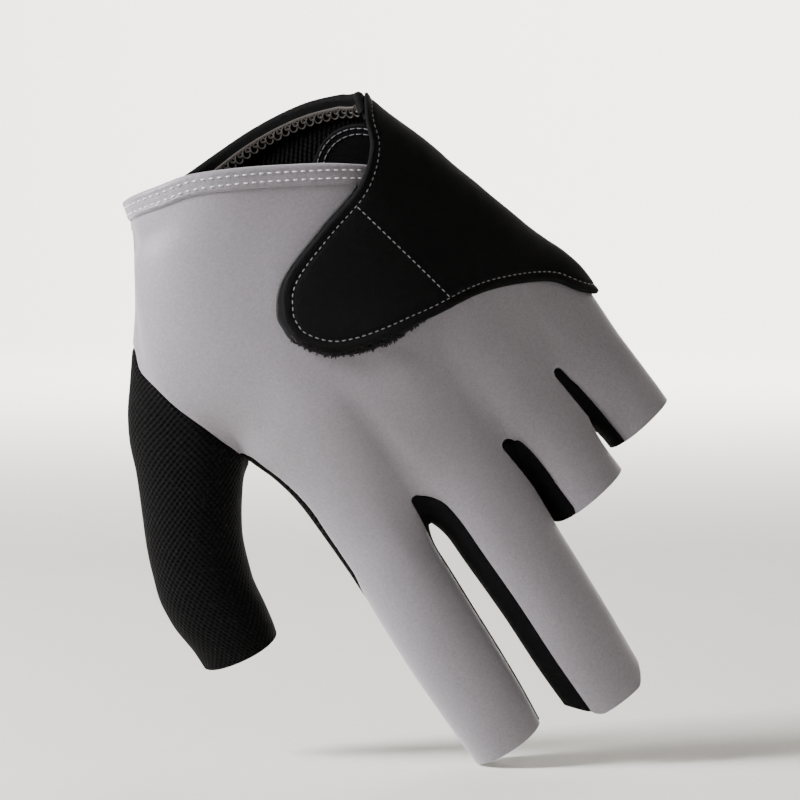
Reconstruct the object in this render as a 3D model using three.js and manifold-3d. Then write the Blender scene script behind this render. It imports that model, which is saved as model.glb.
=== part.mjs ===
// A left-hand billiard glove, filled out as a hand fills it. The thumb, index and middle sleeves are
// long and open at the tips, the ring and little finger sleeves are short, and a wide strap comes round
// from the palm and closes on the back of the hand with a hook pad.
// The pieces are drawn in the hand's own frame: +X to the little finger's side, -Y out of the back of
// the hand, -Z along the fingers, with the middle of the wrist opening at the origin. The finished
// group then leans about Y, so that the fingers point down and to the little finger's side.
import * as THREE from "three";
import { mergeVertices } from "three/addons/utils/BufferGeometryUtils.js";
import Module from "manifold-3d";

const wasm = await Module();
wasm.setup();

// Sizes in millimetres and angles in degrees.
const LEAN = 33;
const CLOTH = 1.2;
const SEAM_GAP = 0.35;

// The hand that the glove is cut for, measured over the cloth.
const WRIST_BREADTH = 66;
const WRIST_DEPTH = 39;
const KNUCKLE_BREADTH = 92;
const KNUCKLE_DEPTH = 30;
const PALM_LENGTH = 111;
const KNUCKLE_ARCH = 19;
const WEB_SLANT = 0.2;
const FINGER_CURL = 9;
const WEB_TUCK = 8;
const WEB_POINT_WIDTH = 1.6;

// Sleeves: each length runs from the webs to the open end.
const FINGER_BREADTH = 24;
const FINGER_DEPTH = 21;
const INDEX_LENGTH = 59;
const MIDDLE_LENGTH = 65.6;
const RING_LENGTH = 23;
const LITTLE_LENGTH = 24.2;
const THUMB_LENGTH = 110;
const THUMB_BREADTH = 27.2;
const THUMB_DEPTH = 26;
const THUMB_SPLAY = 28.9;

// Wrist edge, strap and what is sewn on.
const HEM_WIDTH = 4.4;
const HEM_PROUD = 0.7;
const RIM_FOLD = 5.6;
const RIM_FOLD_THICKNESS = 1;
const STRAP_THICKNESS = 1.8;
const STRAP_LENGTH = 72;
const STRAP_DEPTH = 77.6;
const STRAP_TOP = 7;
const STRAP_PAST_AXIS = 14.2;
const STRAP_WRAP = 7;
const HOOK_PAD_THICKNESS = 1.2;
const HOOK_PAD_LENGTH = 35;
const HOOK_PAD_SHOWS = 1.2;
const HEEL_PATCH_ACROSS = 22.4;
const HEEL_PATCH_TOP = 12;
const HEEL_PATCH_WIDTH = 22;
const HEEL_PATCH_LENGTH = 40;
const HEEL_PATCH_THICKNESS = 1;

// How finely the round sections are drawn, and how far cutters reach past what they cut.
const BODY_SIDES = 36;
const SLEEVE_SIDES = 20;
const CURVE_STEPS = 28;
const REACH = 14;
const SKIN = 0.1;
const FINEST = 0.02;
const FAR = 140;

// Sections of the hand from the wrist to the webs. down is a share of PALM_LENGTH, widen and thin say how
// far the section has gone from the wrist's breadth and depth to the knuckles', radial is the share of
// its breadth on the thumb's side, and full thins the last sections down to the webs.
const HAND_SECTIONS = [
  { down: -0.14, widen: -0.1, radial: 0.484, thin: 0, full: 1 },
  { down: 0, widen: 0, radial: 0.5, thin: 0, full: 1 },
  { down: 0.1, widen: 0.29, radial: 0.52, thin: 0.05, full: 1 },
  { down: 0.2, widen: 0.575, radial: 0.531, thin: 0.1, full: 1 },
  { down: 0.33, widen: 0.865, radial: 0.523, thin: 0.17, full: 1 },
  { down: 0.47, widen: 0.996, radial: 0.5, thin: 0.33, full: 1 },
  { down: 0.6, widen: 1.015, radial: 0.465, thin: 0.5, full: 1 },
  { down: 0.71, widen: 0.977, radial: 0.425, thin: 0.7, full: 1 },
  { down: 0.8, widen: 1.008, radial: 0.4, thin: 0.9, full: 0.94 },
  { down: 0.88, widen: 1.05, radial: 0.39, thin: 1, full: 0.82 },
  { down: 0.93, widen: 1.04, radial: 0.387, thin: 1, full: 0.72 },
  { down: 0.97, widen: 0.98, radial: 0.386, thin: 1, full: 0.6 },
  { down: 1, widen: 0.846, radial: 0.386, thin: 1, full: 0.35 },
];

// The four fingers. root is a share of KNUCKLE_BREADTH from the hand's axis. breadths, at the web, halfway
// and at the open end, and depth are shares of FINGER_BREADTH and FINGER_DEPTH. roll turns the finger's
// back to the little finger's side, and slant cuts its open end askew. radialSeam and ulnarSeam are the
// heights of the back panel's edges over the middle of the finger, as shares of its half depth.
const FINGERS = [
  {
    name: "index",
    length: INDEX_LENGTH,
    root: -0.266,
    breadths: [0.94, 0.96, 0.845],
    depth: 1,
    roll: 2,
    splay: -1,
    slant: 1,
    radialSeam: 0.25,
    ulnarSeam: 0.2,
  },
  {
    name: "middle",
    length: MIDDLE_LENGTH,
    root: 0.042,
    breadths: [1.1, 1.02, 0.93],
    depth: 1.02,
    roll: 16,
    splay: -0.5,
    slant: 0,
    radialSeam: 0.68,
    ulnarSeam: 0.2,
  },
  {
    name: "ring",
    length: RING_LENGTH,
    root: 0.292,
    breadths: [0.86, 0.9, 0.94],
    depth: 0.93,
    roll: 20,
    splay: 1.5,
    slant: 4,
    radialSeam: 0.7,
    ulnarSeam: 0.2,
  },
  {
    name: "little",
    length: LITTLE_LENGTH,
    root: 0.516,
    breadths: [0.86, 0.83, 0.8],
    depth: 0.84,
    roll: 24,
    splay: 4,
    slant: 3,
    radialSeam: 0.5,
    ulnarSeam: 0,
  },
];

// The thumb's line from inside the heel of the hand to its open end. along, bow and palmward are shares
// of THUMB_LENGTH, breadth and depth are shares of THUMB_BREADTH and THUMB_DEPTH.
const THUMB_SECTIONS = [
  { along: 0, bow: 0, palmward: 0.005, breadth: 1.21, depth: 1 },
  { along: 0.147, bow: 0.023, palmward: 0.01, breadth: 1.25, depth: 1.04 },
  { along: 0.336, bow: 0.044, palmward: 0.023, breadth: 1.27, depth: 1.04 },
  { along: 0.456, bow: 0.066, palmward: 0.041, breadth: 1.176, depth: 1.02 },
  { along: 0.545, bow: 0.076, palmward: 0.055, breadth: 1.04, depth: 1 },
  { along: 0.698, bow: 0.08, palmward: 0.086, breadth: 0.95, depth: 0.96 },
  { along: 0.816, bow: 0.066, palmward: 0.109, breadth: 0.934, depth: 0.92 },
  { along: 0.913, bow: 0.036, palmward: 0.132, breadth: 0.897, depth: 0.86 },
  { along: 1, bow: 0, palmward: 0.155, breadth: 0.772, depth: 0.78 },
];
const THUMB_ROOT = { across: -0.217, down: 0.144 };

// Edges seen from the back of the hand: across is a share of KNUCKLE_BREADTH, down of PALM_LENGTH.
const BACK_HEM_LINE = [
  { across: -0.6, down: -0.04 },
  { across: -0.357, down: -0.025 },
  { across: -0.233, down: -0.005 },
  { across: -0.145, down: 0.012 },
  { across: -0.017, down: 0.062 },
  { across: 0.126, down: 0.129 },
  { across: 0.255, down: 0.195 },
  { across: 0.39, down: 0.272 },
  { across: 0.62, down: 0.38 },
];
const PALM_RIM_LINE = [
  { across: -0.6, down: -0.014 },
  { across: -0.361, down: -0.009 },
  { across: -0.171, down: -0.006 },
  { across: 0.049, down: -0.01 },
  { across: 0.211, down: 0.004 },
  { across: 0.325, down: 0.033 },
  { across: 0.386, down: 0.058 },
  { across: 0.62, down: 0.12 },
];
const THUMB_SEAM_LINE = [
  { across: -0.9, down: 0.23 },
  { across: -0.6, down: 0.232 },
  { across: -0.556, down: 0.255 },
  { across: -0.571, down: 0.319 },
  { across: -0.557, down: 0.371 },
  { across: -0.535, down: 0.441 },
  { across: -0.497, down: 0.529 },
  { across: -0.464, down: 0.623 },
  { across: -0.46, down: 0.76 },
  { across: -0.52, down: 1.2 },
];

// The strap's outline. out is the share of STRAP_LENGTH from the rounded tip, and down the share of
// STRAP_DEPTH from its corner at the wrist.
const STRAP_TOP_EDGE = [
  { out: 1.3, down: -0.04 },
  { out: 0.701, down: 0 },
  { out: 0.64, down: 0.084 },
  { out: 0.59, down: 0.17 },
  { out: 0.475, down: 0.258 },
  { out: 0.303, down: 0.308 },
  { out: 0.098, down: 0.379 },
  { out: 0.012, down: 0.464 },
  { out: 0, down: 0.52 },
];
const STRAP_LOW_EDGE = [
  { out: 0, down: 0.52 },
  { out: 0.008, down: 0.575 },
  { out: 0.094, down: 0.682 },
  { out: 0.281, down: 0.748 },
  { out: 0.511, down: 0.748 },
  { out: 0.7, down: 0.782 },
  { out: 0.879, down: 0.871 },
  { out: 0.997, down: 1 },
  { out: 1.3, down: 1.2 },
];

const radians = THREE.MathUtils.degToRad;
const lerp = THREE.MathUtils.lerp;
const smooth = THREE.MathUtils.smoothstep;

// Closed meshes and solids

function solidOf(geometry) {
  const bare = new THREE.BufferGeometry();
  bare.setAttribute("position", geometry.getAttribute("position"));
  bare.setIndex(geometry.getIndex());
  const merged = mergeVertices(bare, 1e-4);
  return new wasm.Manifold(
    new wasm.Mesh({
      numProp: 3,
      vertProperties: merged.attributes.position.array,
      triVerts: new Uint32Array(merged.index.array),
    }),
  );
}

function geometryOf(solid) {
  const mesh = solid.getMesh();
  const geometry = new THREE.BufferGeometry();
  geometry.setAttribute(
    "position",
    new THREE.BufferAttribute(mesh.vertProperties, 3),
  );
  geometry.setIndex(new THREE.BufferAttribute(mesh.triVerts, 1));
  const faceted = geometry.toNonIndexed();
  faceted.computeVertexNormals();
  return faceted;
}

// A closed skin through rings of points, each ring running the same way round, with a flat fan at each end.
function loft(rings) {
  const sides = rings[0].length;
  const points = rings.flat();
  const faces = [];
  for (let r = 0; r + 1 < rings.length; r++) {
    for (let i = 0; i < sides; i++) {
      const here = r * sides + i;
      const beside = r * sides + ((i + 1) % sides);
      faces.push(here, beside, here + sides);
      faces.push(beside, beside + sides, here + sides);
    }
  }
  const capEnd = (first, flip) => {
    const middle = new THREE.Vector3();
    for (let i = 0; i < sides; i++)
      middle.addScaledVector(points[first + i], 1 / sides);
    points.push(middle);
    for (let i = 0; i < sides; i++) {
      const edge = [first + i, first + ((i + 1) % sides)];
      faces.push(...(flip ? edge : edge.reverse()), points.length - 1);
    }
  };
  capEnd(0, false);
  capEnd((rings.length - 1) * sides, true);
  const geometry = new THREE.BufferGeometry().setFromPoints(points);
  geometry.setIndex(faces);
  const solid = solidOf(geometry);
  if (solid.volume() > 0) return solid;
  geometry.setIndex(faces.reverse());
  return solidOf(geometry);
}

// An outline in X and Z, pushed through the hand from its back to its palm.
function prism(outline) {
  const shape = new THREE.Shape(
    outline.map((p) => new THREE.Vector2(p.x, p.z)),
  );
  const geometry = new THREE.ExtrudeGeometry(shape, {
    depth: 2 * FAR,
    bevelEnabled: false,
  });
  geometry.rotateX(Math.PI / 2).translate(0, FAR, 0);
  return solidOf(geometry);
}

// The main body of a cut piece, without the slivers that the cuts leave.
function largestBody(solid) {
  const bodies = solid.simplify(FINEST).decompose();
  return bodies.reduce((a, b) => (b.volume() > a.volume() ? b : a));
}

// The form of the hand

// How far the hand's middle surface lies to the palm's side: the knuckles arch over, and the fingers curl.
function middleDepth(x, z) {
  const index = FINGERS[0].root * KNUCKLE_BREADTH;
  const little = FINGERS[3].root * KNUCKLE_BREADTH;
  const across = Math.max(0, (x - index) / (little - index));
  const archShare = lerp(0.25, 1, smooth(-z, 0, 0.7 * PALM_LENGTH));
  const past = Math.max(0, -z / PALM_LENGTH - 0.75);
  return (
    KNUCKLE_ARCH * archShare * Math.min(across, 1.3) ** 2 +
    FINGER_CURL * (1.2 * past) ** 2
  );
}

// The webs between the fingers step back towards the little finger.
function webReach(x) {
  const across = Math.max(0, x / KNUCKLE_BREADTH + 0.12) / 0.76;
  return PALM_LENGTH * (1 - WEB_SLANT * Math.min(across, 1.2) ** 2);
}

// A ring in the directions wide and deep. fullness over 2 squares an ellipse off.
function ring({ middle, wide, deep, halfWidth, halfDepth, sides, fullness }) {
  return Array.from({ length: sides }, (_, i) => {
    const turn = (2 * Math.PI * i) / sides;
    const bend = (v) => Math.sign(v) * Math.abs(v) ** (2 / fullness);
    return middle
      .clone()
      .addScaledVector(wide, halfWidth * bend(Math.cos(turn)))
      .addScaledVector(deep, halfDepth * bend(Math.sin(turn)));
  });
}

const X_AXIS = new THREE.Vector3(1, 0, 0);
const Y_AXIS = new THREE.Vector3(0, 1, 0);

// grow says how far the skin lies outside the cloth's outer face: a number, or a function of x.
const growthOf = (grow) => (typeof grow === "function" ? grow : () => grow);

function handForm(grow) {
  const growth = growthOf(grow);
  const rings = HAND_SECTIONS.map((s) => {
    const breadth = lerp(WRIST_BREADTH, KNUCKLE_BREADTH, s.widen);
    const depth = lerp(WRIST_DEPTH, KNUCKLE_DEPTH, s.thin) * s.full;
    const flat = ring({
      middle: new THREE.Vector3(breadth * (0.5 - s.radial), 0, 0),
      wide: X_AXIS,
      deep: Y_AXIS,
      halfWidth: breadth / 2,
      halfDepth: depth / 2,
      sides: BODY_SIDES,
      fullness: lerp(2.2, 2.6, Math.max(0, s.widen)),
    });
    const centre = breadth * (0.5 - s.radial);
    return flat.map((p) => {
      const out = growth(p.x);
      const x = centre + (p.x - centre) * (1 + (2 * out) / breadth);
      const z = -s.down * webReach(p.x) - (s.down === 1 ? out : 0);
      const y = p.y * (1 + (2 * out) / depth) + middleDepth(p.x, z);
      return new THREE.Vector3(x, y, z);
    });
  });
  return loft(rings);
}

// A sleeve is a list of stations along its line, each with its middle and half sizes. The frame at each
// station follows the line, with deep to the palm's side.
function framed(stations, roll) {
  return stations.map((s, i) => {
    const before = stations[Math.max(0, i - 1)].middle;
    const after = stations[Math.min(stations.length - 1, i + 1)].middle;
    const along = after.clone().sub(before).normalize();
    const wide = new THREE.Vector3().crossVectors(along, Y_AXIS).normalize();
    if (wide.x < 0) wide.negate();
    const deep = new THREE.Vector3().crossVectors(wide, along).normalize();
    if (deep.y < 0) deep.negate();
    const turned = wide
      .clone()
      .multiplyScalar(Math.cos(roll))
      .addScaledVector(deep, Math.sin(roll));
    const turnedDeep = deep
      .clone()
      .multiplyScalar(Math.cos(roll))
      .addScaledVector(wide, -Math.sin(roll));
    return { ...s, along, wide: turned, deep: turnedDeep };
  });
}

// The last station is repeated past the open end, so that cutters and linings run out of it.
function withRunOut(stations) {
  const last = stations[stations.length - 1];
  const beyond = last.middle.clone().addScaledVector(last.along, REACH);
  return [...stations, { ...last, middle: beyond }];
}

function fingerStations(finger) {
  const x = finger.root * KNUCKLE_BREADTH;
  const start = 0.6 * webReach(x);
  const end = webReach(x) + finger.length;
  const steps = Math.max(5, Math.round((end - start) / 14));
  const [atWeb, halfway, atTip] = finger.breadths;
  const stations = Array.from({ length: steps + 1 }, (_, i) => {
    const down = lerp(start, end, i / steps);
    const past = Math.max(0, down - webReach(x)) / finger.length;
    const swell = lerp(0.3, 1, smooth(down, start, 0.9 * webReach(x)));
    const breadth =
      past < 0.5
        ? lerp(atWeb, halfway, 2 * past)
        : lerp(halfway, atTip, (2 * past - 1) ** 1.5);
    const narrowing = lerp(1, breadth / atWeb, 0.5);
    return {
      middle: new THREE.Vector3(
        x * lerp(0.75, 1, swell) +
          Math.tan(radians(finger.splay)) * past * finger.length,
        middleDepth(x, -down),
        -down,
      ),
      halfWidth: (breadth * swell * FINGER_BREADTH) / 2,
      halfDepth: (finger.depth * narrowing * swell * FINGER_DEPTH) / 2,
    };
  });
  const line = framed(stations, radians(finger.roll));
  const last = line[line.length - 1];
  last.wide.addScaledVector(last.along, -Math.tan(radians(finger.slant)));
  return withRunOut(line);
}

function thumbStations() {
  const splay = radians(THUMB_SPLAY);
  const along = new THREE.Vector3(-Math.sin(splay), 0, -Math.cos(splay));
  const radial = new THREE.Vector3(-Math.cos(splay), 0, Math.sin(splay));
  const root = new THREE.Vector3(
    THUMB_ROOT.across * KNUCKLE_BREADTH,
    0,
    -THUMB_ROOT.down * PALM_LENGTH,
  );
  const stations = THUMB_SECTIONS.map((s) => ({
    middle: root
      .clone()
      .addScaledVector(along, s.along * THUMB_LENGTH)
      .addScaledVector(radial, s.bow * THUMB_LENGTH)
      .addScaledVector(Y_AXIS, s.palmward * THUMB_LENGTH),
    halfWidth: (s.breadth * THUMB_BREADTH) / 2,
    halfDepth: (s.depth * THUMB_DEPTH) / 2,
  }));
  return withRunOut(framed(stations, 0));
}

function sleeve(stations, grow) {
  return loft(
    stations.map((s) => {
      const out = growthOf(grow)(s.middle.x);
      return ring({
        ...s,
        halfWidth: s.halfWidth + out,
        halfDepth: s.halfDepth + out,
        sides: SLEEVE_SIDES,
        fullness: 2.15,
      });
    }),
  );
}

const SLEEVES = [...FINGERS.map(fingerStations), thumbStations()];

function gloveForm(grow) {
  return SLEEVES.map((s) => sleeve(s, grow)).reduce(
    (whole, one) => whole.add(one),
    handForm(grow),
  );
}

// Cutters

// Everything on the back's side of the middle surface, moved palmwards by shift.
function backHalf(shift) {
  const levels = 9;
  const columns = 24;
  const rings = Array.from({ length: levels }, (_, k) => {
    const z = lerp(REACH * 2, -2.2 * PALM_LENGTH, k / (levels - 1));
    const curve = Array.from({ length: columns + 1 }, (_, i) => {
      const x = lerp(-FAR, FAR, i / columns);
      return new THREE.Vector3(x, middleDepth(x, z) + shift, z);
    });
    const front = [
      new THREE.Vector3(FAR, -FAR, z),
      new THREE.Vector3(-FAR, -FAR, z),
    ];
    return [...curve, ...front];
  });
  return loft(rings);
}

// Everything past the sleeves' open ends.
function pastSleeveEnds() {
  return SLEEVES.map((stations) => {
    const [end, beyond] = stations.slice(-2);
    return loft(
      [end, { ...beyond, middle: beyond.middle.clone() }].map((s) =>
        ring({
          ...s,
          halfWidth: s.halfWidth + 2 * CLOTH,
          halfDepth: s.halfDepth + 2 * CLOTH,
          sides: SLEEVE_SIDES,
          fullness: 2.15,
        }),
      ),
    );
  }).reduce((all, one) => all.add(one));
}

const onHand = ({ across, down }) =>
  new THREE.Vector2(across * KNUCKLE_BREADTH, -down * PALM_LENGTH);
const onStrap = ({ out, down }) =>
  new THREE.Vector2(
    out * STRAP_LENGTH - STRAP_PAST_AXIS,
    -STRAP_TOP - down * STRAP_DEPTH,
  );

function curveThrough(points) {
  return new THREE.SplineCurve(points)
    .getPoints(CURVE_STEPS)
    .map((p) => ({ x: p.x, z: p.y }));
}

// The space above a line that crosses the hand, moved down by drop.
function aboveLine(line, drop) {
  const edge = curveThrough(line.map(onHand)).map(({ x, z }) => ({
    x,
    z: z - drop,
  }));
  const left = { x: -FAR, z: edge[0].z };
  const right = { x: FAR, z: edge[edge.length - 1].z };
  return prism([left, ...edge, right, { x: FAR, z: FAR }, { x: -FAR, z: FAR }]);
}

// A sleeve's stations from the depth down on, with close steps past the web.
function downFrom(stations, down) {
  const at = (depth) => {
    const i = stations.findIndex((s) => -s.middle.z > depth);
    const [a, b] = [stations[i - 1], stations[i]];
    const share = (depth + a.middle.z) / (a.middle.z - b.middle.z);
    return {
      middle: a.middle.clone().lerp(b.middle, share),
      wide: a.wide.clone().lerp(b.wide, share),
      deep: a.deep.clone().lerp(b.deep, share),
      halfWidth: lerp(a.halfWidth, b.halfWidth, share),
      halfDepth: lerp(a.halfDepth, b.halfDepth, share),
    };
  };
  const close = [0, 0.5, 1, 1.5].map((k) => at(down + k * WEB_TUCK));
  const past = stations.filter((s) => -s.middle.z > down + 2 * WEB_TUCK);
  return [...close, ...past];
}

// The side walls of one finger from the web to its open end, on the thumb's side or the other.
function sideWall(finger, stations, side, grow) {
  const seam = side < 0 ? finger.radialSeam : finger.ulnarSeam;
  const x = finger.root * KNUCKLE_BREADTH;
  const top = webReach(x + (side * FINGER_BREADTH) / 2) - WEB_TUCK / 2;
  const rings = downFrom(stations, top - grow).map((s) => {
    const open = smooth(-s.middle.z, top, top + 3.5 * WEB_TUCK);
    const near = side * (0.3 * s.halfWidth - grow);
    const far = side * (s.halfWidth + 3 * CLOTH + grow);
    const back = -seam * lerp(0.5, 1, open) * s.halfDepth - grow;
    const palm = 0.45 * s.halfDepth + grow;
    return [
      [near, back],
      [far, back],
      [far, palm],
      [near, palm],
    ].map(([w, d]) =>
      s.middle.clone().addScaledVector(s.wide, w).addScaledVector(s.deep, d),
    );
  });
  const own = sleeve(stations, SKIN).add(handForm(SKIN));
  return loft(rings).intersect(own);
}

// The pointed end of a strip, where it runs up over the web between two fingers.
function webPoint(i, grow) {
  const edge = (k, side) => {
    const finger = FINGERS[k];
    const half = (finger.breadths[0] * FINGER_BREADTH) / 2;
    const seam = side < 0 ? finger.radialSeam : finger.ulnarSeam;
    return (
      finger.root * KNUCKLE_BREADTH + side * half * Math.sqrt(1 - seam ** 2)
    );
  };
  const [left, right] = [edge(i, 1), edge(i + 1, -1)];
  const middle = lerp(left, right, 0.3);
  const web = webReach(middle);
  const tip = WEB_POINT_WIDTH / 2;
  return prism([
    { x: left - grow, z: -web - 0.7 * WEB_TUCK },
    { x: left - grow, z: -web },
    { x: middle - tip - grow, z: -web + WEB_TUCK },
    { x: middle, z: -web + WEB_TUCK + tip + grow },
    { x: middle + tip + grow, z: -web + WEB_TUCK },
    { x: lerp(middle, right, 0.45) + tip + grow, z: -web },
    { x: right + tip + grow, z: -web - 0.7 * WEB_TUCK },
  ]).intersect(backHalf(0.2 * FINGER_DEPTH + grow));
}

// The strip between two neighbouring fingers: the facing walls of both.
function betweenFingers(i, grow) {
  return sideWall(FINGERS[i], SLEEVES[i], 1, grow)
    .add(sideWall(FINGERS[i + 1], SLEEVES[i + 1], -1, grow))
    .add(webPoint(i, grow));
}

function strapOutline() {
  const top = curveThrough(STRAP_TOP_EDGE.map(onStrap));
  const low = curveThrough(STRAP_LOW_EDGE.map(onStrap));
  return [...top, ...low.slice(1)];
}

function pill(x, top, width, length) {
  const half = width / 2;
  const arc = Array.from({ length: CURVE_STEPS / 2 + 1 }, (_, i) => {
    const turn = (Math.PI * i) / (CURVE_STEPS / 2);
    return { x: x + half * Math.cos(turn), up: half * Math.sin(turn) };
  });
  const upper = arc.map((p) => ({ x: p.x, z: top - half + p.up }));
  const lower = arc.map((p) => ({ x: p.x, z: top - length + half - p.up }));
  return prism([...upper, ...lower.reverse()]);
}

const backSide = backHalf(0);
const sleeveEnds = pastSleeveEnds();
const aboveHem = aboveLine(BACK_HEM_LINE, 0);
const aboveRim = aboveLine(PALM_RIM_LINE, 0);
const thumbRegion = (grow) => {
  const line = curveThrough(THUMB_SEAM_LINE.map(onHand)).map(({ x, z }) => ({
    x: x + grow,
    z: z + grow,
  }));
  return prism([...line, { x: -FAR, z: line[line.length - 1].z }]);
};

// What lies between two skins of the glove's form, without what the open ends cut away.
function layer(inner, outer) {
  return gloveForm(outer).subtract(gloveForm(inner)).subtract(sleeveEnds);
}

// Pieces

const cloth = layer(-CLOTH, 0);
const fourchettes = [0, 1, 2].map((i) => betweenFingers(i, 0));
const fourchetteRoom = [0, 1, 2]
  .map((i) => betweenFingers(i, SEAM_GAP))
  .reduce((all, one) => all.add(one));

function thumbSleeve() {
  return cloth.intersect(thumbRegion(0)).subtract(fourchetteRoom);
}

function backPanel() {
  return cloth
    .intersect(backSide)
    .subtract(thumbRegion(SEAM_GAP))
    .subtract(fourchetteRoom)
    .subtract(aboveLine(BACK_HEM_LINE, HEM_WIDTH + SEAM_GAP));
}

function palmPanel() {
  return cloth
    .subtract(backHalf(SEAM_GAP))
    .subtract(thumbRegion(SEAM_GAP))
    .subtract(fourchetteRoom)
    .subtract(aboveRim);
}

function fourchette(i) {
  return cloth.intersect(fourchettes[i]);
}

// The hem lies flat where the strap comes over it.
const hemRise = (x) =>
  HEM_PROUD * (1 - smooth(x, WRIST_BREADTH * 0.24, WRIST_BREADTH * 0.4));

function cuffHem() {
  return handForm(hemRise)
    .subtract(handForm(-CLOTH))
    .intersect(backSide)
    .intersect(aboveLine(BACK_HEM_LINE, HEM_WIDTH))
    .subtract(aboveHem);
}

function palmRimFold() {
  const inner = -CLOTH - SEAM_GAP;
  return handForm(inner)
    .subtract(handForm(inner - RIM_FOLD_THICKNESS))
    .subtract(backHalf(SEAM_GAP))
    .intersect(aboveLine(PALM_RIM_LINE, RIM_FOLD))
    .subtract(aboveRim);
}

function heelPatch() {
  const inner = -CLOTH - SEAM_GAP;
  return handForm(inner)
    .subtract(handForm(inner - HEEL_PATCH_THICKNESS))
    .subtract(backHalf(SEAM_GAP))
    .subtract(aboveLine(PALM_RIM_LINE, RIM_FOLD + SEAM_GAP))
    .intersect(
      pill(
        HEEL_PATCH_ACROSS,
        -HEEL_PATCH_TOP,
        HEEL_PATCH_WIDTH,
        HEEL_PATCH_LENGTH,
      ),
    );
}

// The strap lifts off the back of the hand where the hook pad lies under it.
const padEdge = onStrap({ out: 0, down: 0 }).x + HOOK_PAD_LENGTH;
const strapLift = (x) =>
  SEAM_GAP +
  (HOOK_PAD_THICKNESS + SEAM_GAP) * smooth(padEdge + REACH - x, 0, REACH);

function strap() {
  return gloveForm((x) => strapLift(x) + STRAP_THICKNESS)
    .subtract(gloveForm(strapLift))
    .intersect(backHalf(STRAP_WRAP))
    .intersect(prism(strapOutline()));
}

function hookPad() {
  const outline = strapOutline()
    .filter((p) => p.x < padEdge)
    .map((p) => ({ x: p.x - 0.5 * HOOK_PAD_SHOWS, z: p.z - HOOK_PAD_SHOWS }));
  return gloveForm(SEAM_GAP + HOOK_PAD_THICKNESS)
    .subtract(gloveForm(SEAM_GAP))
    .intersect(backSide)
    .intersect(prism(outline));
}

// Materials

const SOLID = { side: THREE.FrontSide, metalness: 0 };
const GREY_STRETCH = new THREE.MeshStandardMaterial({
  ...SOLID,
  color: "#96949a",
  roughness: 0.6,
});
const BLACK_MESH = new THREE.MeshStandardMaterial({
  ...SOLID,
  color: "#17171a",
  roughness: 0.9,
});
const BLACK_STRETCH = new THREE.MeshStandardMaterial({
  ...SOLID,
  color: "#0f0f12",
  roughness: 0.8,
});
const BLACK_SUEDE = new THREE.MeshStandardMaterial({
  ...SOLID,
  color: "#0b0b0c",
  roughness: 0.95,
});
const HOOK_NYLON = new THREE.MeshStandardMaterial({
  ...SOLID,
  color: "#141416",
  roughness: 0.7,
});

function node(name, solid, material) {
  const mesh = new THREE.Mesh(geometryOf(largestBody(solid)), material);
  mesh.name = name;
  return mesh;
}

const glove = new THREE.Group();
glove.add(
  node("back_panel", backPanel(), GREY_STRETCH),
  node("cuff_hem", cuffHem(), GREY_STRETCH),
  node("palm_panel", palmPanel(), BLACK_MESH),
  node("palm_rim_fold", palmRimFold(), BLACK_STRETCH),
  node("heel_patch", heelPatch(), BLACK_STRETCH),
  node("thumb_sleeve", thumbSleeve(), BLACK_MESH),
  node("fourchette_index_middle", fourchette(0), BLACK_STRETCH),
  node("fourchette_middle_ring", fourchette(1), BLACK_STRETCH),
  node("fourchette_ring_little", fourchette(2), BLACK_STRETCH),
  node("wrist_strap", strap(), BLACK_SUEDE),
  node("hook_pad", hookPad(), HOOK_NYLON),
);
glove.rotation.y = -radians(LEAN);

export default glove;
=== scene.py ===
import math

import bpy
import numpy as np
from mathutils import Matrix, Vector


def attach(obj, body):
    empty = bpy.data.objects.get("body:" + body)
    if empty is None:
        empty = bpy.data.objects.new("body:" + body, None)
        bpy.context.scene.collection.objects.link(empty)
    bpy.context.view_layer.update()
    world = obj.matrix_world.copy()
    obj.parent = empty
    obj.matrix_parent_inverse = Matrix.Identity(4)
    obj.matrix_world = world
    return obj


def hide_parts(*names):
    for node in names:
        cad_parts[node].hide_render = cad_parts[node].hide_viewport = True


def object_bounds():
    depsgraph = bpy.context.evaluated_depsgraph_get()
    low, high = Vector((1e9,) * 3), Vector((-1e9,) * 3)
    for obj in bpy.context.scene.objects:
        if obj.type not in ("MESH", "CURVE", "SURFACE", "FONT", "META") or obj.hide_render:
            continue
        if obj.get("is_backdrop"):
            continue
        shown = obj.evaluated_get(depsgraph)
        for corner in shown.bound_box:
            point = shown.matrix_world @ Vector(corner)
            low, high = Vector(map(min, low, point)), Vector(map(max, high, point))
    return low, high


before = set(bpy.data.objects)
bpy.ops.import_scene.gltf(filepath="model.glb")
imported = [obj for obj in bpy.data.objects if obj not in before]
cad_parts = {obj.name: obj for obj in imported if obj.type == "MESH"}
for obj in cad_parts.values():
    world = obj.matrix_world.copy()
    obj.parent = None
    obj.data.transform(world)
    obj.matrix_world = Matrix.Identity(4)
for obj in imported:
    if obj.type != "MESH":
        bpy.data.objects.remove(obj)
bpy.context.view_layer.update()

# Back of the hand: one piece of grey knit in nylon and elastane, cut to reach from the wrist over
# the backs of all four fingers and stretched over the filled form. Every other cloth piece is sewn
# to its edges, so the form and the seam lines are drawn here first, in mm in the hand's own frame:
# +x to the little finger's side, -y out of the back, -z along the fingers.
MM = 0.001
LEAN = math.radians(33)
PALM_LENGTH = 111.0
KNUCKLE_BREADTH = 92.0
KNUCKLE_ARCH = 19.0
FINGER_CURL = 9.0
INDEX_ROOT, LITTLE_ROOT = -24.5, 47.5


def in_place(points):
    """Points of the hand's own frame, in mm, as metres where the leaning glove has them."""
    x, y, z = np.asarray(points, float).T
    c, s = math.cos(LEAN), math.sin(LEAN)
    return MM * np.stack([x * c - z * s, y, x * s + z * c], 1)


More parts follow.
